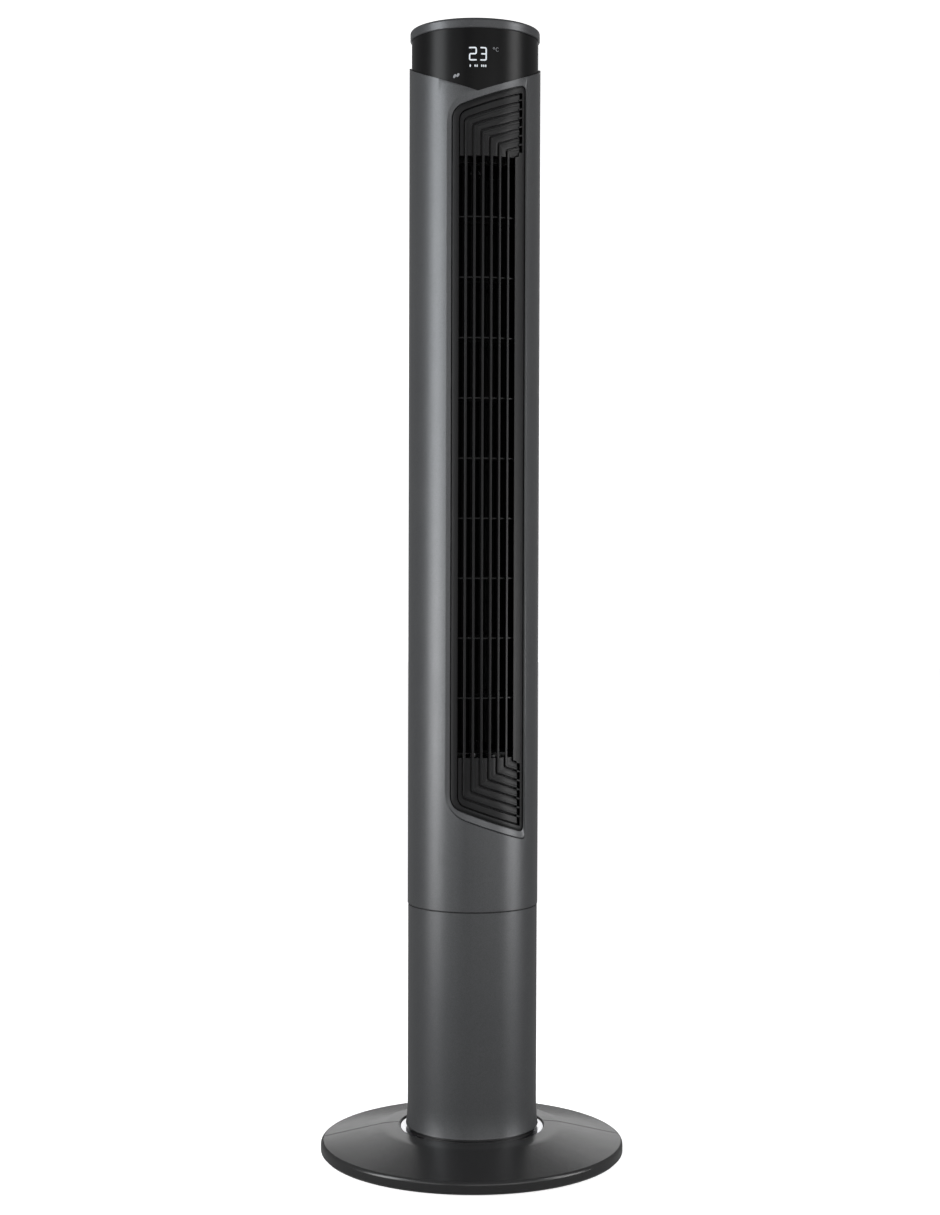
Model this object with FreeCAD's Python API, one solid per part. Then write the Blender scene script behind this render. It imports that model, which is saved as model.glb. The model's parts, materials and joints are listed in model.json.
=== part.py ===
import FreeCAD, Part
import math
import os

# Tower fan: a slim round column that swings on a disc base.
# Units are millimetres. +Z is up, the floor is z = 0, the display faces -Y,
# and the column's axis is the Z axis. Angles called theta are measured from
# the front, positive towards +X.

V = FreeCAD.Vector
ORIGIN = V(0, 0, 0)
UP = V(0, 0, 1)

# ---- driving dimensions ----
BASE_R = 150.0
BASE_RIM_TOP = 13.4
BASE_TOP = 28.0
BASE_WALL = 3.0
BASE_HOLE_R = 71.3
BASE_SPLIT_Y = 10.0
BASE_SEAM = 0.3
BASE_UNDERSIDE = 1.5
SLOPE_R = 88.0
SLOPE_Z = 26.8
SEAT_TOP = 15.0
SEAT_INNER_R = 46.0
RIB_COUNT = 12
RIB_T = 2.2
RIB_LOW_Z = 5.0
SCREW_BORE_R = 1.7
BASE_SCREW_CIRCLE_R = 56.0
GLAND_R = 4.2
GLAND_Z = 6.6
GLAND_LIP = 1.1
GLAND_LIP_DEPTH = 1.5
CORD_R = 3.3

FOOT_PAD_R = 8.0
FOOT_PAD_CIRCLE_R = 128.0
FOOT_PAD_H = 4.0

PLATE_R = 66.0
PLATE_TOP = 18.0
SPIGOT_R = 16.0
SPIGOT_BORE_R = 11.0
SPIGOT_TOP = 68.0
SLIDE_RING_TOP = 22.0
SLIDE_RING_INNER_R = 34.0
WASHER_R = 24.0
WASHER_Z = 52.2
NUT_R = 24.0
NUT_TOP = 67.5
RUN = 0.05

SKIRT_Z = 29.5
SKIRT_R = 65.7
SKIRT_BEND_Z = 42.0
SKIRT_BEND_R = 150.0
LOWER_R = 63.9
LOWER_INNER_R = 61.6
LOWER_TOP = 248.9
FOOT_FLOOR_TOP = 27.0
FOOT_WALL_R = 61.5
FOOT_WALL_INNER_R = 57.5
FOOT_WALL_TOP = 58.0
FOOT_HUB_R = 22.0
FOOT_HUB_TOP = 52.0
COUPLER_LOW = 215.0
COUPLER_TOP = 282.0
COUPLER_INNER_R = 56.0
COUPLER_SCREW_Z = 236.0
COUPLER_WEB_Z = 252.0
COUPLER_WEB_T = 3.0
UPPER_Z = 249.7
BODY_R = 64.4
BODY_WALL = 2.0
BODY_INNER_R = BODY_R - BODY_WALL
GROOVE_FLOOR_R = 63.0

V_APEX_Z = 1036.9
V_RISE_PER_DEG = 0.38
BACK_TOP_Z = V_APEX_Z + 90.0 * V_RISE_PER_DEG
BAND_R = 62.2
BAND_WALL = 2.0
BAND_LAP = 3.0
CAP_Z = 1097.0
CAP_TOP = 1106.6
CAP_R = 63.6
CAP_EDGE_R = 2.5
PANEL_R = 50.0
PANEL_Z = 1103.0
PLUG_INNER_R = 57.6
PLUG_Z = 1086.0
CAP_SCREW_CIRCLE_R = 53.0
BUTTON_BOARD_Z = 1085.4
PCB_T = 1.6

# The air outlet is a leaning rectangle seen from straight ahead.
OUTLET_LEFT = -24.8
OUTLET_RIGHT = 47.1
OUTLET_TOP_Z = 1030.6
OUTLET_TOP_SLOPE = 0.355
OUTLET_LOW_Z = 341.9
OUTLET_LOW_SLOPE = -0.363
OUTLET_SOFT_R = 15.0
OUTLET_TIGHT_R = 3.5

GRILLE_R = 62.2
GRILLE_INNER_R = 55.0
GRILLE_LAP = 2.4
OPEN_LOW_Z = 399.0
OPEN_HIGH_Z = 976.0
BAR_COUNT = 6
BAR_FIRST_X = -11.0
BAR_PITCH = 8.17
BAR_W = 2.3
LEFT_STRIP_X = -17.8
RIGHT_STRIP_X = 36.5
TIE_COUNT = 9
TIE_H = 1.4
LINE_W = 1.3
LINE_DEPTH = 3.0
LINE_REF_X = 42.2
LINE_TOP_Z = 1030.3
LINE_TOP_STEP = -8.5
LINE_LOW_Z = 340.7
LINE_LOW_STEP = 8.75
POCKET_X0 = 40.6
POCKET_X1 = 43.6
POCKET_H = 6.8

WHEEL_X = 2.0
WHEEL_Y = 8.0
WHEEL_R = 40.0
WHEEL_INNER_R = 33.0
WHEEL_Z0 = 401.0
WHEEL_Z1 = 974.0
WHEEL_BAYS = 10
BLADE_COUNT = 28
BLADE_T = 1.0
BLADE_LEAN_DEG = 9.5
BLADE_MIDDLE_LEAN_DEG = 2.6
DISC_T = 1.6
SHAFT_R = 4.0

MOTOR_R = 36.0
MOTOR_Z0 = 328.0
MOTOR_Z1 = 378.0
LOW_PLATE_Z = 391.0
HIGH_PLATE_Z = 980.0
PLATE_T = 4.0

SWING_MODULE = 1.0
SUN_TEETH = 60
PINION_TEETH = 12
TOOTH_TIP_SHARE = 0.11
TOOTH_ROOT_SHARE = 0.33
GEAR_Z0 = 57.0
GEAR_H = 5.0
SWING_MOTOR_R = 17.5
SWING_MOTOR_Z0 = 34.0
SWING_MOTOR_Z1 = 52.0
SWING_EAR_X = 21.0
SWING_EAR_R = 3.6

BOSS_X = 44.0
BOSS_LEVELS = (316.0, 1030.0)
FRONT_BOSS_R = 4.0
REAR_BOSS_R = 5.5
SCREW_WELL_R = 3.9
SLOT_THETA0 = 118.0
SLOT_THETA1 = 242.0
SLOT_COLUMNS = 6
SLOT_RIB_DEG = 2.2
SLOT_LOW_Z = 348.0
SLOT_ROWS = 83
SLOT_PITCH = 8.0
SLOT_H = 5.0

BUTTON_R = 5.5
BUTTON_CIRCLE_R = 34.0
BUTTON_TOP = 1107.0
BUTTON_STEP_DEG = 27.0

parts = {}


# ---- helpers ----
def polar(r, theta, z=0.0):
    angle = math.radians(theta)
    return V(r * math.sin(angle), -r * math.cos(angle), z)


def cylinder(r, z0, z1, x=0.0, y=0.0):
    return Part.makeCylinder(r, z1 - z0, V(x, y, z0))


def ring(r_out, r_in, z0, z1, x=0.0, y=0.0):
    return cylinder(r_out, z0, z1, x, y).cut(cylinder(r_in, z0, z1, x, y))


def sector(r, z0, z1, theta0, theta1):
    solid = Part.makeCylinder(r, z1 - z0, V(0, 0, z0), UP, theta1 - theta0)
    solid.rotate(ORIGIN, UP, theta0 - 90.0)
    return solid


def box(x0, x1, y0, y1, z0, z1):
    return Part.makeBox(x1 - x0, y1 - y0, z1 - z0, V(x0, y0, z0))


def rod(r, start, end):
    return Part.makeCylinder(r, (end - start).Length, start, end - start)


def polygon_face(points):
    return Part.Face(Part.makePolygon(points + [points[0]]))


def prism(points_xy, z0, z1):
    face = polygon_face([V(x, y, z0) for x, y in points_xy])
    return face.extrude(V(0, 0, z1 - z0))


def front_prism(points_xz, y0=-80.0, y1=-15.0):
    face = polygon_face([V(x, y0, z) for x, z in points_xz])
    return face.extrude(V(0, y1 - y0, 0))


def lathe(profile):
    """Turn a closed outline of (r, z) points about Z; a point may carry a corner radius."""
    corners = [(r, z, rest[0] if rest else 0.0) for r, z, *rest in profile]
    wire = rounded_loop(corners, lambda a, b: V(a, 0, b))
    return Part.Face(wire).revolve(ORIGIN, UP, 360)


def rounded_loop(corners, place):
    """A closed wire through (a, b, radius) corners, with an arc at each radius above zero."""
    count = len(corners)
    entries, exits, mids = [], [], []
    for i in range(count):
        a, b, radius = corners[i]
        before = V(corners[i - 1][0] - a, corners[i - 1][1] - b, 0).normalize()
        after = V(corners[(i + 1) % count][0] - a, corners[(i + 1) % count][1] - b, 0).normalize()
        half = before.getAngle(after) / 2.0
        reach = radius / math.tan(half)
        corner = V(a, b, 0)
        inward = (before + after)
        if radius > 0:
            inward.normalize()
        entries.append(corner + before * reach)
        exits.append(corner + after * reach)
        mids.append(corner + inward * (radius / math.sin(half) - radius))
    edges = []
    for i in range(count):
        if corners[i][2] > 0:
            arc = [place(p.x, p.y) for p in (entries[i], mids[i], exits[i])]
            edges.append(Part.Arc(*arc).toShape())
        nxt = entries[(i + 1) % count]
        edges.append(Part.makeLine(place(exits[i].x, exits[i].y), place(nxt.x, nxt.y)))
    return Part.Wire(edges)


def fuse(first, *others):
    return first.multiFuse(list(others)).removeSplitter()


def cut_all(shape, tools):
    return shape.cut(Part.makeCompound(tools))


def group(solids):
    return Part.makeCompound(solids)


def screw(head_r, head_h, shank_r, length, tip, direction):
    """A pan-head screw with its tip at one end; direction points from the tip to the head."""
    d = V(direction)
    d.normalize()
    shank = Part.makeCylinder(shank_r, length, tip, d)
    head = Part.makeCylinder(head_r, head_h, tip + d * length, d)
    recess = Part.makeBox(head_r * 1.1, head_r * 0.3, head_h * 0.5,
                          V(-head_r * 0.55, -head_r * 0.15, 0))
    recess2 = Part.makeBox(head_r * 0.3, head_r * 1.1, head_h * 0.5,
                           V(-head_r * 0.15, -head_r * 0.55, 0))
    cross = recess.fuse(recess2)
    cross.Placement = FreeCAD.Placement(tip + d * (length + head_h * 0.5),
                                        FreeCAD.Rotation(UP, d))
    return shank.fuse(head).cut(cross)


def outlet_outline(margin, y=-80.0):
    """The air outlet's outline, grown by margin, in the plane at y."""
    left = OUTLET_LEFT - margin
    right = OUTLET_RIGHT + margin
    top = margin * math.hypot(1.0, OUTLET_TOP_SLOPE)
    low = margin * math.hypot(1.0, OUTLET_LOW_SLOPE)
    soft = OUTLET_SOFT_R + margin
    tight = OUTLET_TIGHT_R + margin
    corners = [
        (left, OUTLET_LOW_Z + OUTLET_LOW_SLOPE * left - low, soft),
        (right, OUTLET_LOW_Z + OUTLET_LOW_SLOPE * right - low, tight),
        (right, OUTLET_TOP_Z + OUTLET_TOP_SLOPE * right + top, tight),
        (left, OUTLET_TOP_Z + OUTLET_TOP_SLOPE * left + top, soft),
    ]
    return rounded_loop(corners, lambda a, b: V(a, y, b))


def outlet_plug(margin):
    return Part.Face(outlet_outline(margin)).extrude(V(0, 65.0, 0))


def rising_edge(theta_end, z_start, r):
    """A line on a cylinder that climbs evenly from the front apex towards one side."""
    steps = 16
    points = []
    for i in range(steps + 1):
        theta = theta_end * i / steps
        points.append(polar(r, theta, z_start + V_RISE_PER_DEG * abs(theta)))
    curve = Part.BSplineCurve()
    curve.interpolate(points)
    return curve.toShape()


def above_v(z_start, height=90.0):
    """The space above the front V line that starts at z_start, for cutting."""
    pieces = []
    for side in (-1.0, 1.0):
        face = Part.makeRuledSurface(rising_edge(side * 90.5, z_start, 50.0),
                                     rising_edge(side * 90.5, z_start, 75.0))
        pieces.append(face.extrude(V(0, 0, height)))
    return pieces


def gear(teeth, module, z0, height, bore_r, x=0.0, y=0.0, turn=0.0):
    """A straight gear with trapezoid teeth."""
    pitch_r = teeth * module / 2.0
    tip_r = pitch_r + module * 0.95
    root_r = pitch_r - module * 1.2
    pitch = 360.0 / teeth
    points = []
    for i in range(teeth):
        middle = turn + i * pitch
        for r, share in ((root_r, -TOOTH_ROOT_SHARE), (tip_r, -TOOTH_TIP_SHARE),
                         (tip_r, TOOTH_TIP_SHARE), (root_r, TOOTH_ROOT_SHARE)):
            p = polar(r, middle + share * pitch)
            points.append((p.x + x, p.y + y))
    return prism(points, z0, z0 + height).cut(cylinder(bore_r, z0, z0 + height, x, y))


# ---- base, fixed to the floor ----
def base_shell():
    outer = [(BASE_R - 2.5, BASE_UNDERSIDE), (BASE_R, BASE_UNDERSIDE + 2.5, 1.5),
             (BASE_R, BASE_RIM_TOP, 3.6), (SLOPE_R, SLOPE_Z, 40.0),
             (BASE_HOLE_R, BASE_TOP, 1.6), (BASE_HOLE_R, SEAT_TOP)]
    hub_r = BASE_HOLE_R + BASE_WALL
    rim_r = BASE_R - BASE_WALL
    inner = [(SEAT_INNER_R, SEAT_TOP), (SEAT_INNER_R, SEAT_TOP - BASE_WALL),
             (hub_r, SEAT_TOP - BASE_WALL), (hub_r, BASE_TOP - BASE_WALL - 0.2),
             (SLOPE_R, SLOPE_Z - BASE_WALL), (rim_r, BASE_RIM_TOP - BASE_WALL),
             (rim_r, BASE_UNDERSIDE)]
    shell = lathe(outer + inner)
    hollow = lathe([(hub_r - 1.0, BASE_UNDERSIDE), (rim_r + 1.0, BASE_UNDERSIDE),
                    (rim_r + 1.0, BASE_RIM_TOP - BASE_WALL + 1.0),
                    (SLOPE_R, SLOPE_Z - BASE_WALL + 1.0), (hub_r - 1.0, BASE_TOP - BASE_WALL + 0.8)])
    ribs = []
    for i in range(RIB_COUNT):
        rib = box(hub_r - 1.0, rim_r + 1.0, -RIB_T / 2, RIB_T / 2, RIB_LOW_Z, BASE_TOP)
        rib.rotate(ORIGIN, UP, (i + 0.5) * 360.0 / RIB_COUNT)
        ribs.append(rib.common(hollow))
    sockets = [cylinder(FOOT_PAD_R + 2.5, 2.0, SEAT_TOP + 2.0, p.x, p.y).common(hollow)
               for p in pad_places()]
    shell = fuse(shell, *ribs, *sockets)
    pads = [cylinder(FOOT_PAD_R, 0.0, FOOT_PAD_H, p.x, p.y) for p in pad_places()]
    bores = [cylinder(SCREW_BORE_R, 8.0, SEAT_TOP, p.x, p.y) for p in base_screw_places()]
    gland_hole = rod(GLAND_R, V(0, BASE_R - 15.0, GLAND_Z), V(0, BASE_R + 5.0, GLAND_Z))
    gland_seat = rod(GLAND_R + GLAND_LIP, V(0, BASE_R - GLAND_LIP_DEPTH, GLAND_Z),
                     V(0, BASE_R + 5.0, GLAND_Z))
    return cut_all(shell, pads + bores + [gland_hole, gland_seat])


def pad_places():
    return [polar(FOOT_PAD_CIRCLE_R, 30.0 + 60.0 * i) for i in range(6)]


def base_screw_places():
    return [polar(BASE_SCREW_CIRCLE_R, 30.0 + 60.0 * i) for i in range(6)]


def make_base():
    shell = base_shell()
    front = box(-200, 200, -200, BASE_SPLIT_Y - BASE_SEAM / 2, -10, 60)
    rear = box(-200, 200, BASE_SPLIT_Y + BASE_SEAM / 2, 200, -10, 60)
    parts["base_front_half"] = shell.common(front)
    parts["base_rear_half"] = shell.common(rear)
    parts["rubber_feet"] = group([cylinder(FOOT_PAD_R - 0.1, 0.0, FOOT_PAD_H, p.x, p.y)
                                  for p in pad_places()])
    parts["trim_ring"] = lathe([(62.0, 24.0), (67.2, 24.0), (67.2, SEAT_TOP),
                                (BASE_HOLE_R - 0.2, SEAT_TOP), (BASE_HOLE_R - 0.2, 26.5, 0.8),
                                (62.0, 26.5, 0.8)])
    plate = fuse(ring(PLATE_R, SPIGOT_BORE_R, SEAT_TOP, PLATE_TOP),
                 ring(SPIGOT_R, SPIGOT_BORE_R, PLATE_TOP, SPIGOT_TOP))
    holes = [cylinder(SCREW_BORE_R, SEAT_TOP, PLATE_TOP, p.x, p.y) for p in base_screw_places()]
    parts["pivot_plate"] = cut_all(plate, holes)
    parts["base_screws"] = group([
        screw(3.0, 1.9, 1.6, PLATE_TOP - SEAT_TOP + BASE_WALL, V(p.x, p.y, PLATE_TOP), V(0, 0, -1))
        for p in base_screw_places()])
    parts["slide_ring"] = ring(SEAT_INNER_R, SLIDE_RING_INNER_R, PLATE_TOP, SLIDE_RING_TOP)
    parts["thrust_washer"] = ring(WASHER_R, SPIGOT_R + 0.1, WASHER_Z, GEAR_Z0)
    parts["swing_gear"] = gear(SUN_TEETH, SWING_MODULE, GEAR_Z0, GEAR_H, SPIGOT_R + 0.02,
                               turn=180.0)
    corners = [polar(NUT_R, 60.0 * i + 30.0) for i in range(6)]
    nut = prism([(p.x, p.y) for p in corners], GEAR_Z0 + GEAR_H, NUT_TOP)
    parts["retaining_nut"] = nut.cut(cylinder(SPIGOT_R + 0.02, GEAR_Z0, SPIGOT_TOP))
    face_y = BASE_R - 0.2
    gland = fuse(rod(GLAND_R - 0.1, V(0, BASE_R - 6.0, GLAND_Z), V(0, face_y, GLAND_Z)),
                 rod(GLAND_R + GLAND_LIP - 0.1, V(0, BASE_R - GLAND_LIP_DEPTH, GLAND_Z),
                     V(0, face_y, GLAND_Z)))
    gland = gland.cut(rod(CORD_R, V(0, BASE_R - 7.0, GLAND_Z), V(0, BASE_R, GLAND_Z)))
    parts["cord_gland"] = gland


# ---- swing drive and lower column ----
def pinion_centre():
    distance = (SUN_TEETH + PINION_TEETH) * SWING_MODULE / 2.0
    return V(0, distance, 0)


def coupler_angles():
    return (110.0, 180.0, 250.0)


def coupler_bores(radius, depth_r):
    """Radial bores at the coupler's screws, from depth_r outwards."""
    return [rod(radius, polar(depth_r, t, COUPLER_SCREW_Z), polar(70.0, t, COUPLER_SCREW_Z))
            for t in coupler_angles()]


def make_lower_column():
    outer = [(LOWER_INNER_R, SKIRT_Z), (SKIRT_R, SKIRT_Z, 0.4),
             (LOWER_R, SKIRT_BEND_Z, SKIRT_BEND_R), (LOWER_R, LOWER_TOP),
             (LOWER_INNER_R, LOWER_TOP)]
    tools = coupler_bores(SCREW_BORE_R, 55.0) + coupler_bores(3.1, 62.6)
    parts["lower_column"] = cut_all(lathe(outer), tools)


def make_foot():
    """The turning floor that rides on the slide ring and carries the swing motor."""
    c = pinion_centre()
    bearing_r = SPIGOT_R + RUN
    floor_z = FOOT_FLOOR_TOP
    ribs = [box(20.5, 58.5, -1.2, 1.2, floor_z, 40.0).rotated(ORIGIN, UP, a)
            for a in (0, 45, 135, 180, 225, 270, 315)]
    posts = [cylinder(3.2, floor_z, SWING_MOTOR_Z0, c.x + dx, c.y)
             for dx in (-SWING_EAR_X, SWING_EAR_X)]
    foot = fuse(ring(60.0, bearing_r, SLIDE_RING_TOP + RUN, floor_z),
                ring(FOOT_WALL_R, FOOT_WALL_INNER_R, floor_z, FOOT_WALL_TOP),
                ring(FOOT_HUB_R, bearing_r, floor_z, FOOT_HUB_TOP), *ribs, *posts)
    clear_room = cylinder(SWING_MOTOR_R + 1.1, floor_z, FOOT_WALL_TOP, c.x, c.y)
    clear_room = clear_room.cut(cylinder(FOOT_HUB_R + 2.0, 26.0, 59.0))
    foot = foot.cut(clear_room.common(cylinder(FOOT_WALL_INNER_R - 0.1, 26.0, 59.0)))
    bores = [cylinder(1.5, floor_z + 1.0, SWING_MOTOR_Z0, c.x + dx, c.y)
             for dx in (-SWING_EAR_X, SWING_EAR_X)]
    parts["column_foot"] = cut_all(foot, bores)


def make_swing_drive():
    c = pinion_centre()
    ears = (-SWING_EAR_X, SWING_EAR_X)
    low, high = SWING_MOTOR_Z0, SWING_MOTOR_Z1
    can = cylinder(SWING_MOTOR_R, low, high, c.x, c.y)
    strap = box(c.x - SWING_EAR_X, c.x + SWING_EAR_X, c.y - SWING_EAR_R, c.y + SWING_EAR_R,
                low, low + 1.0)
    motor = fuse(can, strap, *[cylinder(SWING_EAR_R, low, low + 1.0, c.x + dx, c.y) for dx in ears])
    holes = [cylinder(1.6, low, low + 1.0, c.x + dx, c.y) for dx in ears]
    shaft_bore = cylinder(2.55, 40.0, high, c.x, c.y)
    keep_off = cylinder(FOOT_HUB_R + 0.6, low - 1.0, high + 1.0)
    parts["swing_motor"] = cut_all(motor, holes + [shaft_bore, keep_off])
    parts["swing_motor_screws"] = group([
        screw(2.8, 1.8, 1.45, 7.0, V(c.x + dx, c.y, FOOT_FLOOR_TOP + 1.0), UP) for dx in ears])
    parts["swing_pinion"] = gear(PINION_TEETH, SWING_MODULE, GEAR_Z0 - 0.5, GEAR_H + 1.0, 2.5,
                                 c.x, c.y, turn=15.0)
    parts["swing_motor_shaft"] = cylinder(2.49, 44.0, GEAR_Z0 + GEAR_H + 1.5, c.x, c.y)


def make_coupler():
    collar_r = BODY_INNER_R - 0.1
    coupler = lathe([(COUPLER_INNER_R, COUPLER_LOW), (FOOT_WALL_R, COUPLER_LOW, 1.0),
                     (FOOT_WALL_R, LOWER_TOP), (GROOVE_FLOOR_R, LOWER_TOP),
                     (GROOVE_FLOOR_R, UPPER_Z), (collar_r, UPPER_Z), (collar_r, COUPLER_TOP),
                     (COUPLER_INNER_R, COUPLER_TOP)])
    web = ring(COUPLER_INNER_R + 0.5, 24.0, COUPLER_WEB_Z, COUPLER_WEB_Z + COUPLER_WEB_T)
    cable_slot = box(-60.0, -12.0, 4.0, 40.0, COUPLER_WEB_Z - 2.0, COUPLER_WEB_Z + 5.0)
    coupler = fuse(coupler, web).cut(cable_slot.common(cylinder(COUPLER_INNER_R - 0.1, 250, 257)))
    parts["coupler_ring"] = cut_all(coupler, coupler_bores(SCREW_BORE_R, 55.0))
    tips = [(polar(COUPLER_INNER_R + 0.3, t, COUPLER_SCREW_Z), polar(1.0, t))
            for t in coupler_angles()]
    parts["coupler_screws"] = group([screw(2.9, 1.1, 1.65, 6.3, tip, out) for tip, out in tips])


def make_power_board():
    """The mains board with its transformer, relay, choke, capacitors and plug, and its frame."""
    face = 6.0 + PCB_T
    board = box(-34.0, 34.0, 6.0, face, 96.0, 196.0)
    transformer = box(-28.0, -2.0, face, face + 22.0, 104.0, 128.0)
    relay = box(6.0, 26.0, face, face + 12.0, 106.0, 130.0)
    main_capacitor = cylinder(8.0, 138.0, 160.0, -16.0, 15.0)
    small_capacitor = cylinder(5.0, 138.0, 154.0, 4.0, 12.0)
    choke = box(14.0, 30.0, face, face + 9.0, 140.0, 158.0)
    plug = box(-26.0, -6.0, face, face + 13.0, 184.0, 194.0)
    parts["power_board"] = fuse(board, transformer, relay, main_capacitor, small_capacitor,
                                choke, plug)
    low, high, back, front = 80.0, 206.0, -6.0, -24.0
    posts = [rod(3.0, V(x, back, z), V(x, 6.0, z)) for x in (-29.0, 29.0) for z in (100.0, 192.0)]
    wall = box(-34.0, 34.0, back - 2.5, back, low, high)
    flanges = [box(x, x + 2.5, front, back - 2.5, low, high) for x in (-34.0, 31.5)]
    floor = [ring(57.4, 48.0, low - 6.0, low), box(-52.0, 52.0, -12.0, back, low - 6.0, low)]
    parts["board_bracket"] = fuse(wall, *posts, *flanges, *floor)


# ---- upper column: shells, grille, display, cap ----
def boss_places():
    return [(x, z) for z in BOSS_LEVELS for x in (-BOSS_X, BOSS_X)]


def make_front_shell():
    tube = ring(BODY_R, BODY_INNER_R, UPPER_Z, BACK_TOP_Z + 5.0)
    tube = tube.common(box(-80, 80, -80, -0.1, UPPER_Z, BACK_TOP_Z + 5.0))
    tube = cut_all(tube, above_v(V_APEX_Z)).cut(outlet_plug(0.0))
    inside = cylinder(BODY_R - 0.5, 200.0, 1100.0)
    bosses = [rod(FRONT_BOSS_R, V(x, -14.0, z), V(x, -0.1, z)) for x, z in boss_places()]
    arms = []
    for x, z in boss_places():
        wall_x = math.copysign(BODY_INNER_R + 0.5, x)
        arm = box(min(x, wall_x), max(x, wall_x), -6.0, -0.1, z - 1.2, z + 1.2)
        arms.append(arm.common(inside))
    shell = fuse(tube, *arms, *bosses)
    return cut_all(shell, [rod(1.4, V(x, -12.0, z), V(x, 0.0, z)) for x, z in boss_places()])


def rear_slots():
    """Air-inlet slots: rows of short slots round the back."""
    ribs = SLOT_RIB_DEG * (SLOT_COLUMNS - 1)
    width = (SLOT_THETA1 - SLOT_THETA0 - ribs) / SLOT_COLUMNS
    slots = []
    for row in range(SLOT_ROWS):
        z = SLOT_LOW_Z + SLOT_PITCH * row
        for column in range(SLOT_COLUMNS):
            start = SLOT_THETA0 + column * (width + SLOT_RIB_DEG)
            slots.append(sector(BODY_R + 5.0, z, z + SLOT_H, start, start + width))
    return slots


def make_rear_shell():
    tube = ring(BODY_R, BODY_INNER_R, UPPER_Z, BACK_TOP_Z)
    tube = tube.common(box(-80, 80, 0.1, 80, UPPER_Z, BACK_TOP_Z))
    inside = cylinder(BODY_R - 0.6, 200.0, 1100.0)
    bosses = [rod(REAR_BOSS_R, V(x, 0.1, z), V(x, 60.0, z)).common(inside)
              for x, z in boss_places()]
    wells = [rod(SCREW_WELL_R, V(x, 8.0, z), V(x, 70.0, z)) for x, z in boss_places()]
    bores = [rod(1.8, V(x, 0.0, z), V(x, 9.0, z)) for x, z in boss_places()]
    return cut_all(fuse(tube, *bosses), rear_slots() + wells + bores)


def line_z(k, x, top):
    """Height of slanted groove k at x, above or below the open part of the grille."""
    if top:
        return LINE_TOP_Z + LINE_TOP_STEP * k + OUTLET_TOP_SLOPE * (x - LINE_REF_X)
    return LINE_LOW_Z + LINE_LOW_STEP * k + OUTLET_LOW_SLOPE * (x - LINE_REF_X)


def groove_outline(k, top):
    slope = OUTLET_TOP_SLOPE if top else OUTLET_LOW_SLOPE
    outward = 1.0 if top else -1.0
    half = LINE_W / 2.0
    rise = half * math.hypot(1.0, slope)
    middle = BAR_FIRST_X + BAR_PITCH * k - BAR_W / 2.0 - half
    start = OPEN_HIGH_Z if top else OPEN_LOW_Z
    left, right, end = middle - half, middle + half, POCKET_X0 + 0.5
    return [(left, start), (left, line_z(k, left, top) + outward * rise),
            (end, line_z(k, end, top) + outward * rise),
            (end, line_z(k, end, top) - outward * rise),
            (right, line_z(k, right, top) - outward * rise), (right, start)]


def pocket_outlines():
    outlines = []
    middle_x = (POCKET_X0 + POCKET_X1) / 2.0
    for top in (True, False):
        slope = OUTLET_TOP_SLOPE if top else OUTLET_LOW_SLOPE
        for k in range(-1, BAR_COUNT):
            if top:
                centre = line_z(k, middle_x, True) - 2.4
            else:
                centre = line_z(k, middle_x, False) + 4.4
            half_h = POCKET_H / 2.0
            lean = slope * (POCKET_X1 - POCKET_X0) / 2.0
            outlines.append([(POCKET_X0, centre - half_h - lean), (POCKET_X1, centre - half_h + lean),
                             (POCKET_X1, centre + half_h + lean), (POCKET_X0, centre + half_h - lean)])
    return outlines


def make_front_grille():
    band = ring(GRILLE_R, GRILLE_INNER_R, 300.0, 1070.0)
    plate = band.common(outlet_plug(GRILLE_LAP))
    gaps = []
    for k in range(BAR_COUNT + 1):
        left = LEFT_STRIP_X if k == 0 else BAR_FIRST_X + BAR_PITCH * (k - 1) + BAR_W / 2.0
        right = RIGHT_STRIP_X if k == BAR_COUNT else BAR_FIRST_X + BAR_PITCH * k - BAR_W / 2.0
        gaps.append(box(left, right, -80, -15, OPEN_LOW_Z, OPEN_HIGH_Z))
    plate = cut_all(plate, gaps)
    skin = ring(GRILLE_R + 3.0, GRILLE_R - LINE_DEPTH, 300.0, 1070.0)
    grooves = [front_prism(groove_outline(k, top)).common(skin)
               for top in (True, False) for k in range(BAR_COUNT)]
    pockets = [front_prism(outline) for outline in pocket_outlines()]
    plate = cut_all(cut_all(plate, grooves), pockets)
    pitch = (OPEN_HIGH_Z - OPEN_LOW_Z) / (TIE_COUNT + 1)
    ties = []
    for i in range(1, TIE_COUNT + 1):
        z = OPEN_LOW_Z + pitch * i
        tie = ring(59.5, 56.5, z - TIE_H / 2, z + TIE_H / 2)
        ties.append(tie.common(box(LEFT_STRIP_X - 0.5, RIGHT_STRIP_X + 0.5, -80, -15, z - 5, z + 5)))
    parts["front_grille"] = plate.multiFuse(ties)


def make_display():
    window = ring(BAND_R, BAND_R - BAND_WALL, V_APEX_Z - BAND_LAP, CAP_Z)
    front_half = window.common(box(-80, 80, -80, 0, 1000, 1110))
    front_half = cut_all(front_half, [below_v(V_APEX_Z - BAND_LAP)])
    back_half = window.common(box(-80, 80, 0, 80, BACK_TOP_Z - BAND_LAP, 1110))
    parts["display_window"] = fuse(front_half, back_half)
    parts["display_board"] = fuse(box(-27.0, 27.0, -51.6, -50.0, 1048.0, 1084.5),
                                  box(-12.0, 12.0, -50.0, -45.0, 1050.0, 1056.0))
    parts["digit_module"] = box(-13.0, 13.0, -57.6, -51.6, 1060.0, 1082.0)


def below_v(z_start):
    """The space under the V line, as one solid between the floor of the band and the line."""
    whole = Part.makeBox(160, 100, 90, V(-80, -100, z_start - 50.0))
    for piece in above_v(z_start, 140.0):
        whole = whole.cut(piece)
    return whole


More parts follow.
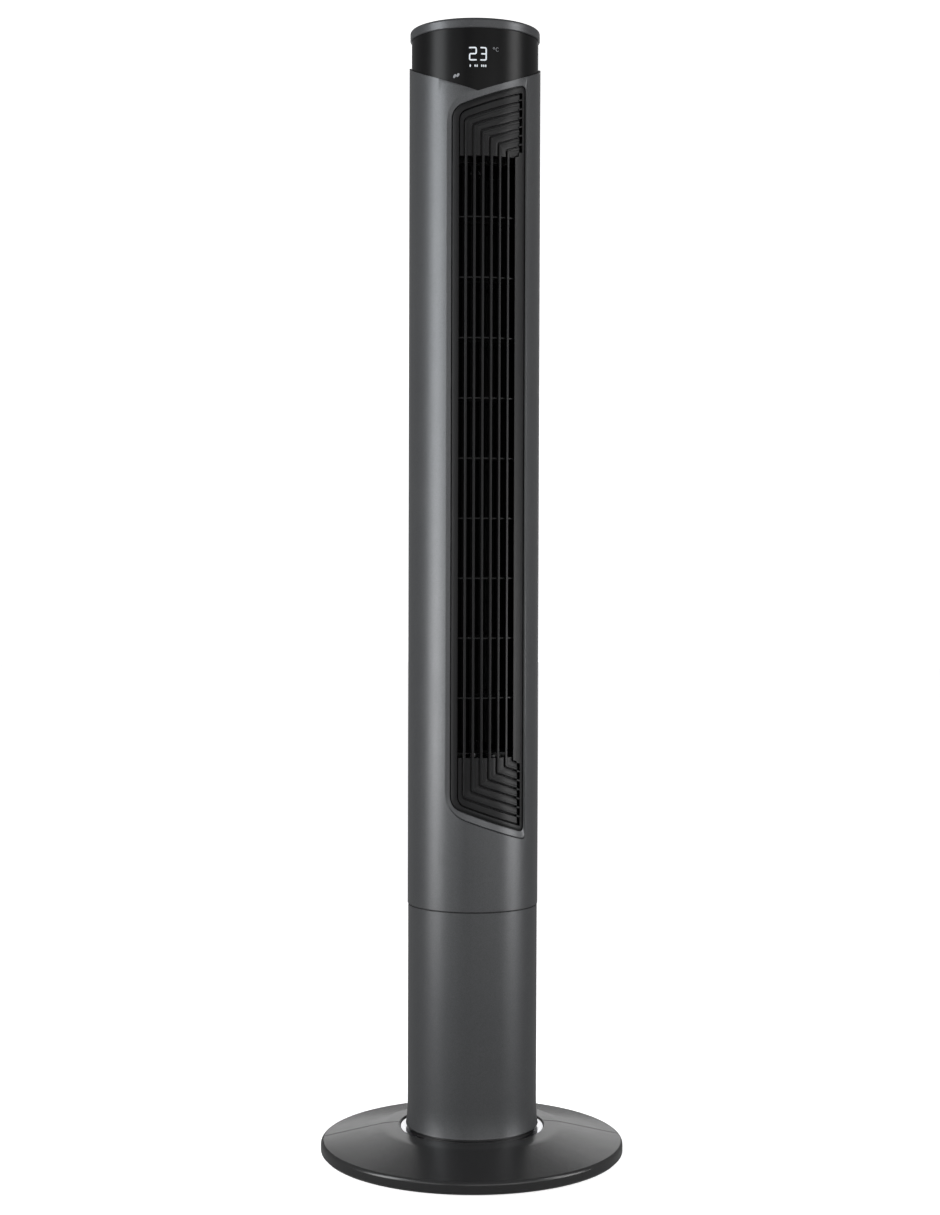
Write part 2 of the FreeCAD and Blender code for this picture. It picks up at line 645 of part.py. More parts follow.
def make_cap():
    outer = [(52.0, CAP_Z), (CAP_R - 0.6, CAP_Z), (CAP_R, CAP_Z + 0.6), (CAP_R, CAP_TOP, CAP_EDGE_R),
             (PANEL_R + 0.2, CAP_TOP), (PANEL_R + 0.2, PANEL_Z), (44.0, PANEL_Z),
             (44.0, PANEL_Z - 3.0), (52.0, PANEL_Z - 3.0)]
    plug = ring(BAND_R - BAND_WALL - 0.1, PLUG_INNER_R, PLUG_Z, CAP_Z + 1.0)
    bosses = [cylinder(4.0, PLUG_Z + 2.0, CAP_Z + 2.0, p.x, p.y) for p in cap_screw_places()]
    cap = fuse(lathe(outer), plug, *bosses)
    bores = [cylinder(1.5, PLUG_Z + 1.0, CAP_Z - 1.0, p.x, p.y) for p in cap_screw_places()]
    parts["top_cap"] = cut_all(cap, bores)
    panel = cylinder(PANEL_R, PANEL_Z, CAP_TOP - 0.4)
    holes = [cylinder(BUTTON_R + 0.3, PANEL_Z, CAP_TOP, p.x, p.y) for p in button_places()]
    parts["control_panel"] = cut_all(panel, holes)
    low = BUTTON_BOARD_Z
    high = low + PCB_T
    board = cylinder(PLUG_INNER_R - 1.1, low, high).cut(box(-60, 60, -60, -42.0, low, high))
    board = cut_all(board, [cylinder(SCREW_BORE_R, low, high, p.x, p.y)
                            for p in cap_screw_places()])
    switches = [box(p.x - 3, p.x + 3, p.y - 3, p.y + 3, high, high + 8.4) for p in button_places()]
    parts["button_board"] = fuse(board, *switches)
    parts["cap_screws"] = group([screw(3.0, 1.8, 1.45, 8.0, V(p.x, p.y, low + 8.0), V(0, 0, -1))
                                 for p in cap_screw_places()])


def cap_screw_places():
    return [polar(CAP_SCREW_CIRCLE_R, t) for t in (60.0, 180.0, 300.0)]


def button_places():
    return [polar(BUTTON_CIRCLE_R, BUTTON_STEP_DEG * i) for i in range(-2, 3)]


def make_buttons():
    names = ("timer_button", "mode_button", "power_button", "speed_button", "swing_button")
    for name, p in zip(names, button_places()):
        button = lathe([(0.0, 1096.4), (2.0, 1096.4), (2.0, 1100.6), (BUTTON_R + 1.0, 1100.6),
                        (BUTTON_R + 1.0, PANEL_Z - 0.1), (BUTTON_R, PANEL_Z - 0.1),
                        (BUTTON_R, BUTTON_TOP, 0.8), (0.0, BUTTON_TOP)])
        button.translate(V(p.x, p.y, 0))
        parts[name] = button


# ---- air path and fan drive ----
def make_air_duct():
    def arc_wall(a, b, c, thickness):
        inner = Part.Arc(a, b, c)
        centre = inner.toShape().Curve.Center
        outer = [centre + (p - centre) * (1.0 + thickness / (p - centre).Length) for p in (a, b, c)]
        wire = Part.Wire([inner.toShape(), Part.makeLine(c, outer[2]),
                          Part.Arc(outer[2], outer[1], outer[0]).toShape(),
                          Part.makeLine(outer[0], a)])
        return Part.Face(wire).extrude(V(0, 0, HIGH_PLATE_Z - LOW_PLATE_Z - PLATE_T))

    z = LOW_PLATE_Z + PLATE_T
    parts["volute_wall"] = arc_wall(V(-25.0, -46.5, z), V(-46.0, -8.0, z), V(-33.0, 36.0, z), 2.0)
    parts["duct_tongue"] = prism([(43.0, -31.0), (46.0, -27.0), (47.5, -8.0), (44.5, -5.5),
                                  (43.5, -13.0)], z, HIGH_PLATE_Z)
    low = cylinder(54.0, LOW_PLATE_Z, z).cut(cylinder(12.0, LOW_PLATE_Z, z, WHEEL_X, WHEEL_Y))
    low = cut_all(low, [cylinder(2.2, LOW_PLATE_Z, z, p.x, p.y) for p in mount_places()])
    parts["lower_end_plate"] = low
    high = cylinder(54.0, HIGH_PLATE_Z, HIGH_PLATE_Z + PLATE_T)
    high = fuse(high, ring(18.0, 13.1, HIGH_PLATE_Z + PLATE_T, HIGH_PLATE_Z + 10.0,
                           WHEEL_X, WHEEL_Y))
    parts["upper_end_plate"] = high.cut(cylinder(13.1, HIGH_PLATE_Z, HIGH_PLATE_Z + 10.0,
                                                 WHEEL_X, WHEEL_Y))
    parts["bearing_holder"] = ring(13.0, 7.0, HIGH_PLATE_Z, HIGH_PLATE_Z + 10.0, WHEEL_X, WHEEL_Y)
    parts["top_bearing"] = ring(6.95, SHAFT_R + RUN, HIGH_PLATE_Z + 0.5, HIGH_PLATE_Z + 9.5,
                                WHEEL_X, WHEEL_Y)


def mount_places():
    return [V(WHEEL_X, WHEEL_Y, 0) + polar(28.0, 40.0 + 120.0 * i) for i in range(3)]


def make_motor():
    x, y = WHEEL_X, WHEEL_Y
    lower = fuse(ring(MOTOR_R, MOTOR_R - 2.0, MOTOR_Z0, 346.0, x, y),
                 ring(MOTOR_R - 1.0, 7.1, MOTOR_Z0, MOTOR_Z0 + 2.0, x, y),
                 ring(10.0, 7.1, MOTOR_Z0 + 2.0, MOTOR_Z0 + 10.0, x, y))
    upper = fuse(ring(MOTOR_R, MOTOR_R - 2.0, 362.0, MOTOR_Z1, x, y),
                 ring(MOTOR_R - 1.0, 7.1, MOTOR_Z1 - 2.0, MOTOR_Z1, x, y),
                 ring(10.0, 7.1, MOTOR_Z1 - 10.0, MOTOR_Z1 - 2.0, x, y))
    vents = [cylinder(2.6, MOTOR_Z0 - 1, MOTOR_Z0 + 3, x + 22 * math.cos(a), y + 22 * math.sin(a))
             for a in [math.radians(30.0 * i) for i in range(12)]]
    parts["motor_lower_shield"] = cut_all(lower, vents)
    parts["motor_upper_shield"] = upper
    core = ring(MOTOR_R, 18.6, 346.0, 362.0, x, y)
    winding = [ring(31.0, 21.0, 340.0, 346.0, x, y), ring(31.0, 21.0, 362.0, 368.0, x, y)]
    parts["motor_stator"] = fuse(core, *winding)
    parts["motor_bearings"] = group([
        ring(7.0, SHAFT_R + RUN, MOTOR_Z0 + 1.0, MOTOR_Z0 + 9.0, x, y),
        ring(7.0, SHAFT_R + RUN, MOTOR_Z1 - 9.0, MOTOR_Z1 - 1.0, x, y)])
    parts["motor_rotor"] = fuse(ring(18.0, SHAFT_R, 345.0, 363.0, x, y),
                                ring(8.0, SHAFT_R, 363.0, 366.0, x, y))
    parts["motor_shaft"] = cylinder(SHAFT_R, MOTOR_Z0 - 3.0, WHEEL_Z0 + 8.0, x, y)
    plate = cylinder(34.0, MOTOR_Z1, MOTOR_Z1 + 2.0, x, y).cut(
        cylinder(12.0, MOTOR_Z1, MOTOR_Z1 + 2.0, x, y))
    parts["motor_bracket"] = cut_all(plate, [cylinder(2.2, MOTOR_Z1, MOTOR_Z1 + 2, p.x, p.y)
                                             for p in mount_places()])
    parts["motor_mounts"] = group([ring(6.0, 2.2, MOTOR_Z1 + 2.0, LOW_PLATE_Z, p.x, p.y)
                                   for p in mount_places()])
    parts["motor_screws"] = group([
        screw(4.0, 2.2, 2.0, LOW_PLATE_Z + PLATE_T - MOTOR_Z1 - 2.0,
              V(p.x, p.y, MOTOR_Z1 + 2.0), UP) for p in mount_places()])


def blade(index):
    """One forward-curved blade, the full length of the wheel."""
    angle = 360.0 * index / BLADE_COUNT
    middle_r = (WHEEL_INNER_R + WHEEL_R) / 2.0
    sides = []
    for offset in (-BLADE_T / 2.0, BLADE_T / 2.0):
        points = []
        for r, lean in ((WHEEL_INNER_R + 0.5, 0.0), (middle_r, -BLADE_MIDDLE_LEAN_DEG),
                        (WHEEL_R - 0.2, -BLADE_LEAN_DEG)):
            p = polar(r, angle + lean + math.degrees(offset / r), WHEEL_Z0 + 0.4)
            points.append(V(p.x + WHEEL_X, p.y + WHEEL_Y, p.z))
        sides.append(points)
    near, far = sides
    wire = Part.Wire([Part.Arc(*near).toShape(), Part.makeLine(near[2], far[2]),
                      Part.Arc(far[2], far[1], far[0]).toShape(), Part.makeLine(far[0], near[0])])
    return Part.Face(wire).extrude(V(0, 0, WHEEL_Z1 - WHEEL_Z0 - 0.8))


def make_wheel():
    x, y = WHEEL_X, WHEEL_Y
    pitch = (WHEEL_Z1 - WHEEL_Z0) / WHEEL_BAYS
    discs = [ring(WHEEL_R, WHEEL_INNER_R, WHEEL_Z0 + pitch * i - DISC_T / 2,
                  WHEEL_Z0 + pitch * i + DISC_T / 2, x, y) for i in range(1, WHEEL_BAYS)]
    ends = [ring(WHEEL_R, 11.0, WHEEL_Z0, WHEEL_Z0 + 2.4, x, y),
            ring(WHEEL_R, 9.0, WHEEL_Z1 - 2.4, WHEEL_Z1, x, y)]
    blades = [blade(i) for i in range(BLADE_COUNT)]
    parts["cross_flow_wheel"] = ends[0].multiFuse([ends[1]] + discs + blades)
    parts["wheel_hub"] = ring(11.0, SHAFT_R, WHEEL_Z0 - 3.0, WHEEL_Z0 + 8.0, x, y)
    parts["top_journal"] = fuse(ring(9.0, 3.0, WHEEL_Z1 - 3.0, WHEEL_Z1 + 1.5, x, y),
                                cylinder(SHAFT_R, WHEEL_Z1 - 3.0, HIGH_PLATE_Z + 9.0, x, y))


# ---- wiring ----
def bent_tube(points, radius, bend):
    """A round tube along straight runs joined by tangent arcs."""
    edges = []
    last = points[0]
    for i in range(1, len(points) - 1):
        corner = points[i]
        before = (points[i - 1] - corner).normalize()
        after = (points[i + 1] - corner).normalize()
        half = before.getAngle(after) / 2.0
        reach = bend / math.tan(half)
        start = corner + before * reach
        end = corner + after * reach
        inward = (before + after).normalize()
        middle = corner + inward * (bend / math.sin(half) - bend)
        edges.append(Part.makeLine(last, start))
        edges.append(Part.Arc(start, middle, end).toShape())
        last = end
    edges.append(Part.makeLine(last, points[-1]))
    path = Part.Wire(edges)
    profile = Part.Wire(Part.makeCircle(radius, points[0], points[1] - points[0]))
    tube = path.makePipeShell([profile], True, True)
    print("cable length", round(path.Length, 1), "volume ratio",
          round(tube.Volume / (math.pi * radius * radius * path.Length), 4))
    return tube


def make_wiring():
    cable_x, cable_y = -56.0, 12.0
    route = [V(-16.0, 15.0, 194.0), V(-16.0, 15.0, 238.0), V(cable_x, cable_y, 300.0),
             V(cable_x, cable_y, 1046.0), V(-44.0, -30.0, 1064.0), V(-30.0, -47.4, 1053.0),
             V(-12.0, -47.4, 1053.0)]
    parts["riser_cable"] = bent_tube(route, 2.5, 18.0)
    clips = []
    for z in (450.0, 690.0, 930.0):
        hook = ring(4.2, 2.5, z - 4.0, z + 4.0, cable_x, cable_y)
        clips.append(hook.common(cylinder(BODY_INNER_R - 0.05, z - 5.0, z + 5.0)))
    parts["cable_clips"] = group(clips)


def main():
    make_base()
    make_lower_column()
    make_foot()
    make_swing_drive()
    make_coupler()
    make_power_board()
    parts["front_shell"] = make_front_shell()
    parts["rear_shell"] = make_rear_shell()
    parts["shell_screws"] = group([screw(3.4, 2.0, 1.4, 17.0, V(x, -9.0, z), V(0, 1, 0))
                                   for x, z in boss_places()])
    make_front_grille()
    make_display()
    make_cap()
    make_buttons()
    make_air_duct()
    make_motor()
    make_wheel()
    make_wiring()
    os.makedirs("parts", exist_ok=True)
    for name, shape in parts.items():
        shape.exportStep("parts/" + name + ".step")
        if not shape.isValid() or shape.Volume <= 0:
            print("bad shape", name)
        print(name, len(shape.Solids), round(shape.Volume))
    print(len(parts), "nodes")


main()
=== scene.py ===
import json
import math

import bpy
import bmesh
from mathutils import Matrix, Vector


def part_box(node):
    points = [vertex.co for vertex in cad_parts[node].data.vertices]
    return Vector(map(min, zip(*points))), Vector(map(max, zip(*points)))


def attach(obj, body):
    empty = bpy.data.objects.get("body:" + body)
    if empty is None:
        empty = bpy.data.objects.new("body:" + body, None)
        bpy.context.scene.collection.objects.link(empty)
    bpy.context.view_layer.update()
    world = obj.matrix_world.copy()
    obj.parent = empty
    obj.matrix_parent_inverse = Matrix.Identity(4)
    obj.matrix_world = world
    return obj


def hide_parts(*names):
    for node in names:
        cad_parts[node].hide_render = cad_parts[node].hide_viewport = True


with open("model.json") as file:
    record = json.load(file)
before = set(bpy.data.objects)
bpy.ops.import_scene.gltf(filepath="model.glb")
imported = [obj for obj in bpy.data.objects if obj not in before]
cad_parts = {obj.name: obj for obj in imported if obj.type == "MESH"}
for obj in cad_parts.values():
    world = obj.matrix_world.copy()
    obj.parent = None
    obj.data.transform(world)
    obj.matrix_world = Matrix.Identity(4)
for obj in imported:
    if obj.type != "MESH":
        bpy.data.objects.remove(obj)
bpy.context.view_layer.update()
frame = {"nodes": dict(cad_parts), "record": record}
scene = bpy.context.scene

# Lengths below are in millimetres, angles called theta are degrees from the front, positive to
# the right, and a surface point is (x, z, r): r is its distance from the column's axis.
MM = 0.001


def span(node):
    """Lowest and highest corner of a CAD node, in millimetres."""
    low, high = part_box(node)
    return low / MM, high / MM


# ---- driving dimensions ----
BODY_R = span("rear_shell")[1].x
BODY_INNER_R = BODY_R - 2.0
SHELL_LOW_Z = span("front_shell")[0].z
SIDE_TOP_Z = span("rear_shell")[1].z
V_RISE_PER_DEG = 0.38
V_APEX_Z = SIDE_TOP_Z - 90.0 * V_RISE_PER_DEG
BAND_R = span("display_window")[1].x
BASE_SEAM_Y = (span("base_front_half")[1].y + span("base_rear_half")[0].y) / 2.0
BASE_SEAM_DISH = 1.0

OUTLET_LEFT, OUTLET_RIGHT = -24.8, 47.1
OUTLET_TOP_Z, OUTLET_TOP_SLOPE = 1030.6, 0.355
OUTLET_LOW_Z, OUTLET_LOW_SLOPE = 341.9, -0.363
OUTLET_SOFT_R, OUTLET_TIGHT_R = 15.0, 3.5

BEVEL_LEFT = -29.0
BEVEL_RIGHT = 48.6
BEVEL_LOW_Z, BEVEL_LOW_SLOPE = 335.0, -0.353
BEVEL_SINK = 1.4
CREASE_DEPTH = 1.1
CREASE_HALF_W = 0.75
SEAM_BEVEL = 0.8

GRILLE_R = BAND_R
GRILLE_BACK_R = 55.0
GRILLE_GAP = 0.7
GRILLE_LAP = 2.2
LAP_R = 61.0
OPEN_LOW_Z, OPEN_HIGH_Z = 399.0, 976.0
BAR_COUNT = 6
BAR_FIRST_X, BAR_PITCH, BAR_W = -11.0, 8.17, 2.3
LEFT_STRIP_X, RIGHT_STRIP_X = -17.8, 36.5
TIE_COUNT = 9
TIE_H = 1.4
TIE_R0, TIE_R1 = 56.5, 59.5
LINE_REF_X = 42.2
LINE_TOP_Z, LINE_TOP_STEP = 1030.3, -8.5
LINE_LOW_Z, LINE_LOW_STEP = 340.7, 8.75
GROOVE_HALF_W = 0.65
GRILLE_CORNER_R = 10.0
POCKET_X0, POCKET_X1 = 40.6, 43.6
POCKET_FLOOR_R = 57.0

# Points closer than MERGE_DIST metres become one; edges sharper than these angles stay sharp.
MERGE_DIST = 0.000004
SHELL_SHARP, PART_SHARP, MARK_SHARP = 28.0, 30.0, 40.0
ROUND_STATIONS = 5


# ---- mesh helpers ----
def polar(r, theta, z):
    angle = math.radians(theta)
    return Vector((r * math.sin(angle), -r * math.cos(angle), z)) * MM


def front_point(x, z, r):
    """The point at x on the front of a cylinder of radius r."""
    return Vector((x, -math.sqrt(r * r - x * x), z)) * MM


def mix(a, b, t):
    return a + (b - a) * t


def mix_pair(p, q, t):
    return (mix(p[0], q[0], t), mix(p[1], q[1], t))


def steps(start, end, count):
    """count + 1 evenly spaced values from start to end."""
    return [mix(start, end, i / count) for i in range(count + 1)]


class Builder:
    """Collects quads from grids of points and makes them one named mesh."""

    def __init__(self):
        self.mesh = bmesh.new()

    def grid(self, rows, closed=False):
        """Rows of points, joined by quads; closed joins each row's last point to its first."""
        grid = [[self.mesh.verts.new(p) for p in row] for row in rows]
        across = len(rows[0]) if closed else len(rows[0]) - 1
        for a, b in zip(grid, grid[1:]):
            for i in range(across):
                j = (i + 1) % len(a)
                self.face((a[i], a[j], b[j], b[i]))
        return grid

    def face(self, corners):
        if len({tuple(round(c, 7) for c in v.co) for v in corners}) > 2:
            self.mesh.faces.new(corners)

    def done(self, name, slot, body, sharp):
        bmesh.ops.remove_doubles(self.mesh, verts=self.mesh.verts, dist=MERGE_DIST)
        bmesh.ops.recalc_face_normals(self.mesh, faces=self.mesh.faces)
        data = bpy.data.meshes.new(name)
        self.mesh.to_mesh(data)
        self.mesh.free()
        data.shade_smooth()
        data.set_sharp_from_angle(angle=math.radians(sharp))
        piece = bpy.data.objects.new(name, data)
        scene.collection.objects.link(piece)
        data.materials.append(SLOT_MATERIALS[slot])
        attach(piece, body)
        return piece


def rounded_path(points, radius):
    """The (a, b) points of an open path with each inner corner rounded."""
    path = [points[0]]
    for before, corner, after in zip(points, points[1:], points[2:]):
        start = toward(corner, before, radius)
        end = toward(corner, after, radius)
        path += [bezier(start, corner, end, i / ROUND_STATIONS) for i in range(ROUND_STATIONS + 1)]
    path.append(points[-1])
    return path


def toward(a, b, distance):
    length = math.hypot(b[0] - a[0], b[1] - a[1])
    return mix_pair(a, b, distance / length)


def bezier(a, b, c, t):
    return mix_pair(mix_pair(a, b, t), mix_pair(b, c, t), t)


# ---- the outlet's outlines, as matched stations round a leaning rectangle ----
LEFT_HALF_ANGLE, RIGHT_HALF_ANGLE = 55.0, 35.0
SIDE_STATIONS = 36
END_STATIONS = 26
CORNER_STATIONS = 8


def outlet_corner(x, top, margin):
    """A corner of the outlet's outline grown by margin."""
    slope = OUTLET_TOP_SLOPE if top else OUTLET_LOW_SLOPE
    base = OUTLET_TOP_Z if top else OUTLET_LOW_Z
    out = margin * math.hypot(1.0, slope) * (1.0 if top else -1.0)
    return (x, base + slope * x + out)


def bend_length(radius, half_angle):
    """How far along each side a quadratic bend starts, to pass where an arc of that radius does."""
    half = math.radians(half_angle)
    return 2.0 * radius * (1.0 / math.sin(half) - 1.0) / math.cos(half)


def bend(start, corner, end):
    """Stations round a corner, with both ends."""
    return [bezier(start, corner, end, j / CORNER_STATIONS) for j in range(CORNER_STATIONS + 1)]


def between(start, end, count):
    """Stations along a line, without its ends."""
    return [mix_pair(start, end, j / count) for j in range(1, count)]


def loop_stations(corners):
    """Stations round corners (x, z, bend length): low left, low right, high right, high left."""
    stations = []
    counts = (END_STATIONS, SIDE_STATIONS, END_STATIONS, SIDE_STATIONS)
    for i in range(4):
        point, reach = corners[i][:2], corners[i][2]
        before, after = corners[i - 1][:2], corners[(i + 1) % 4][:2]
        start, end = toward(point, before, reach), toward(point, after, reach)
        following = corners[(i + 1) % 4]
        stations += bend(start, point, end)
        stations += between(end, toward(following[:2], point, following[2]), counts[i])
    return stations


def outlet_loop(margin):
    soft = bend_length(OUTLET_SOFT_R + margin, LEFT_HALF_ANGLE)
    tight = bend_length(OUTLET_TIGHT_R + margin, RIGHT_HALF_ANGLE)
    left, right = OUTLET_LEFT - margin, OUTLET_RIGHT + margin
    return loop_stations([(*outlet_corner(left, False, margin), soft),
                          (*outlet_corner(right, False, margin), tight),
                          (*outlet_corner(right, True, margin), tight),
                          (*outlet_corner(left, True, margin), soft)])


def v_edge(theta):
    return V_APEX_Z + V_RISE_PER_DEG * abs(theta)


def theta_at(x):
    """The angle at which the shell's face has this x."""
    return math.degrees(math.asin(x / BODY_R))


# ---- front shell ----
V_MARGIN = 0.5
BEVEL_SOFT, BEVEL_TIGHT, BEVEL_TURN = 22.0, 5.0, 3.0
BEVEL_LEFT_TOP_Z = 1006.0
BEVEL_LIFT = (BEVEL_LEFT - 0.4, 1036.0)
CREASE_TOP_Z, CREASE_FADE_Z = 372.0, 20.0
CREASE_LEAD_X, CREASE_RISE_X = 1.0, 14.0
INNER_GAP, LIP_ROUND = 0.1, 0.35
RIM_SINK, CREASE_SINK = 0.1, 0.05
BEVEL_SHARES = (0.06, 0.3, 0.6, 0.9)
BORDER_SHARES = (0.0, 0.08, 0.2, 0.4, 0.6, 0.8, 1.0)
SIDE_GAP = 0.1
LEFT_COLUMNS, RIGHT_COLUMNS, LOW_ROWS = 28, 18, 6
# These two are in metres.
WALL_ROUND = 0.00035
ON_SURFACE = 1e-6


def bevel_loop():
    """The bevel's outer line: it runs up to the V edge along the top."""
    low_left = (BEVEL_LEFT, BEVEL_LOW_Z + BEVEL_LOW_SLOPE * BEVEL_LEFT)
    low_right = (BEVEL_RIGHT, BEVEL_LOW_Z + BEVEL_LOW_SLOPE * BEVEL_RIGHT)
    high_right = (BEVEL_RIGHT, v_edge(theta_at(BEVEL_RIGHT)) - V_MARGIN)
    turn_x = BEVEL_RIGHT - BEVEL_TURN
    top_right = (turn_x, v_edge(theta_at(turn_x)) - V_MARGIN)
    left_end = (BEVEL_LEFT, BEVEL_LEFT_TOP_Z)
    left_low = (BEVEL_LEFT, low_left[1] + BEVEL_SOFT)
    low_soft = toward(low_left, low_right, BEVEL_SOFT)
    low_tight = toward(low_right, low_left, BEVEL_TIGHT)
    right_low = toward(low_right, high_right, BEVEL_TIGHT)
    right_high = (BEVEL_RIGHT, high_right[1] - BEVEL_TURN)
    stations = bend(left_low, low_left, low_soft) + between(low_soft, low_tight, END_STATIONS)
    stations += bend(low_tight, low_right, right_low)
    stations += between(right_low, right_high, SIDE_STATIONS)
    stations += bend(right_high, high_right, top_right)
    for j in range(1, END_STATIONS):
        theta = mix(theta_at(top_right[0]), 0.0, j / END_STATIONS)
        stations.append((BODY_R * math.sin(math.radians(theta)), v_edge(theta) - V_MARGIN))
    stations += bend((0.0, V_APEX_Z - V_MARGIN), BEVEL_LIFT, left_end)
    stations += between(left_end, left_low, SIDE_STATIONS)
    return stations


PATCH_LEFT, PATCH_RIGHT = -34.0, 54.0
PATCH_LOW_Z = 296.0


def patch_border():
    """(theta, z) stations of the four-sided patch that holds the outlet, matched to its loops."""
    half = CORNER_STATIONS // 2
    ends = END_STATIONS + 2 * half
    sides = SIDE_STATIONS + 2 * half
    low = [(t, PATCH_LOW_Z) for t in steps(PATCH_LEFT, PATCH_RIGHT, ends)]
    right = [(PATCH_RIGHT, z) for z in steps(PATCH_LOW_Z, v_edge(PATCH_RIGHT), sides)]
    top_thetas = steps(PATCH_RIGHT, 0.0, ends - half) + steps(0.0, PATCH_LEFT, half)[1:]
    top = [(t, v_edge(t)) for t in top_thetas]
    left = [(PATCH_LEFT, z) for z in steps(v_edge(PATCH_LEFT), PATCH_LOW_Z, sides)]
    loop = low[:-1] + right[:-1] + top[:-1] + left[:-1]
    return loop[-half:] + loop[:-half], low, right, top, left


def crease_share(x, z):
    """1 where the crease under the outlet is full depth, fading out round its left corner."""
    if z > CREASE_TOP_Z:
        return 0.0
    rise = min(1.0, max(0.0, (x - BEVEL_LEFT + CREASE_LEAD_X) / CREASE_RISE_X))
    return rise * min(1.0, max(0.0, (CREASE_TOP_Z - z) / CREASE_FADE_Z))


def shell_rows():
    """Rows of points from inside the outlet's edge out to the patch's border."""
    edge, bevel = outlet_loop(0.0), bevel_loop()
    border = patch_border()[0]
    rows = [[front_point(x, z, BODY_INNER_R + INNER_GAP) for x, z in edge]]
    sunk = BODY_R - BEVEL_SINK
    rows.append([front_point(x, z, sunk - LIP_ROUND) for x, z in edge])
    for share in BEVEL_SHARES:
        row = []
        for a, b in zip(edge, bevel):
            x, z = mix_pair(a, b, share)
            row.append(front_point(x, z, mix(sunk, BODY_R - RIM_SINK, share)))
        rows.append(row)
    rows.append([front_point(x, z, BODY_R - CREASE_SINK - CREASE_DEPTH * crease_share(x, z))
                 for x, z in bevel])
    for k in BORDER_SHARES:
        row = []
        for (x, z), (theta, border_z) in zip(bevel, border):
            room = math.hypot(math.radians(theta - theta_at(x)) * BODY_R, border_z - z)
            share = mix(min(0.5, CREASE_HALF_W / room), 1.0, k)
            row.append(polar(BODY_R, mix(theta_at(x), theta, share), mix(z, border_z, share)))
        rows.append(row)
    return rows


def seam_edge(columns):
    """The shell's bottom edge, bevelled inwards so the seam below it reads as a dark line."""
    return [polar(BODY_R - SEAM_BEVEL, t, SHELL_LOW_Z) for t in columns]


def build_front_shell():
    b = Builder()
    b.grid(shell_rows(), closed=True)
    loop, low, right, top, left = patch_border()
    edge_theta = 90.0 - math.degrees(SIDE_GAP / BODY_R)
    side_columns = steps(-edge_theta, PATCH_LEFT, LEFT_COLUMNS)
    right_columns = steps(PATCH_RIGHT, edge_theta, RIGHT_COLUMNS)
    low_rows = steps(SHELL_LOW_Z + SEAM_BEVEL, PATCH_LOW_Z, LOW_ROWS)
    for columns, side in ((side_columns, left[::-1]), (right_columns, right)):
        b.grid([[polar(BODY_R, t, mix(PATCH_LOW_Z, v_edge(t), share)) for t in columns]
                for share in steps(0.0, 1.0, len(side) - 1)])
        b.grid([seam_edge(columns)] + [[polar(BODY_R, t, z) for t in columns] for z in low_rows])
    columns = [t for t, _ in low]
    b.grid([seam_edge(columns)] + [[polar(BODY_R, t, z) for t in columns] for z in low_rows])
    add_wall(b, BODY_INNER_R)
    shell = b.done("front_shell_skin", "shell_grey", "column", SHELL_SHARP)
    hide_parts("front_shell")


def add_wall(b, inner_r):
    """Rounds the sheet's outer border over and gives the sheet an inner face at inner_r."""
    bm = b.mesh
    bmesh.ops.remove_doubles(bm, verts=bm.verts, dist=MERGE_DIST)
    outer_faces = list(bm.faces)
    inner = {}
    for v in list(bm.verts):
        flat = Vector((v.co.x, v.co.y, 0.0)).normalized() * inner_r * MM
        inner[v] = bm.verts.new((flat.x, flat.y, v.co.z))
    border = [e for e in bm.edges if e.is_boundary]
    for f in outer_faces:
        bm.faces.new([inner[v] for v in reversed(f.verts)])
    for e in border:
        v, w = e.verts
        bm.faces.new((v, w, inner[w], inner[v]))
    outer_border = [e for e in border if any(abs(v.co.xy.length - BODY_R * MM) < ON_SURFACE
                                             for v in e.verts)]
    bmesh.ops.bevel(bm, geom=outer_border, offset=WALL_ROUND, segments=2, affect="EDGES",
                    profile=0.5, clamp_overlap=True)


# ---- materials; depths of grain and lines are in metres ----
TONE_VARY = 0.06
METAL_LINE_DEPTH = 0.000004
LIT_LOW = 0.82


def new_material(name):
    material = bpy.data.materials.new(name)
    material.use_nodes = True
    nodes, links = material.node_tree.nodes, material.node_tree.links
    shader = nodes["Principled BSDF"]
    where = nodes.new("ShaderNodeTexCoord").outputs["Object"]
    return material, nodes, links, shader, where


def noise(nodes, links, where, scale, detail=3.0, roughness=0.6, stretch=None):
    """A noise texture in object space; scale is in features per metre."""
    if stretch:
        mapping = nodes.new("ShaderNodeMapping")
        mapping.inputs["Scale"].default_value = stretch
        links.new(where, mapping.inputs["Vector"])
        where = mapping.outputs["Vector"]
    texture = nodes.new("ShaderNodeTexNoise")
    texture.inputs["Scale"].default_value = scale
    texture.inputs["Detail"].default_value = detail
    texture.inputs["Roughness"].default_value = roughness
    links.new(where, texture.inputs["Vector"])
    return texture.outputs["Fac"]


def ramp(nodes, links, value, low, high, start=0.3, end=0.7):
    """Turns a 0 to 1 value into a colour between low and high."""
    node = nodes.new("ShaderNodeValToRGB")
    node.color_ramp.elements[0].position = start
    node.color_ramp.elements[1].position = end
    node.color_ramp.elements[0].color = (*low, 1.0)
    node.color_ramp.elements[1].color = (*high, 1.0)
    links.new(value, node.inputs["Fac"])
    return node.outputs["Color"]


def spread(nodes, links, value, low, high):
    """Maps a 0 to 1 value to the range low to high."""
    node = nodes.new("ShaderNodeMapRange")
    node.inputs["To Min"].default_value = low
    node.inputs["To Max"].default_value = high
    links.new(value, node.inputs["Value"])
    return node.outputs["Result"]


def bump(nodes, links, shader, height, distance):
    node = nodes.new("ShaderNodeBump")
    node.inputs["Distance"].default_value = distance
    links.new(height, node.inputs["Height"])
    links.new(node.outputs["Normal"], shader.inputs["Normal"])


def shade(color, factor):
    return tuple(min(1.0, c * factor) for c in color)


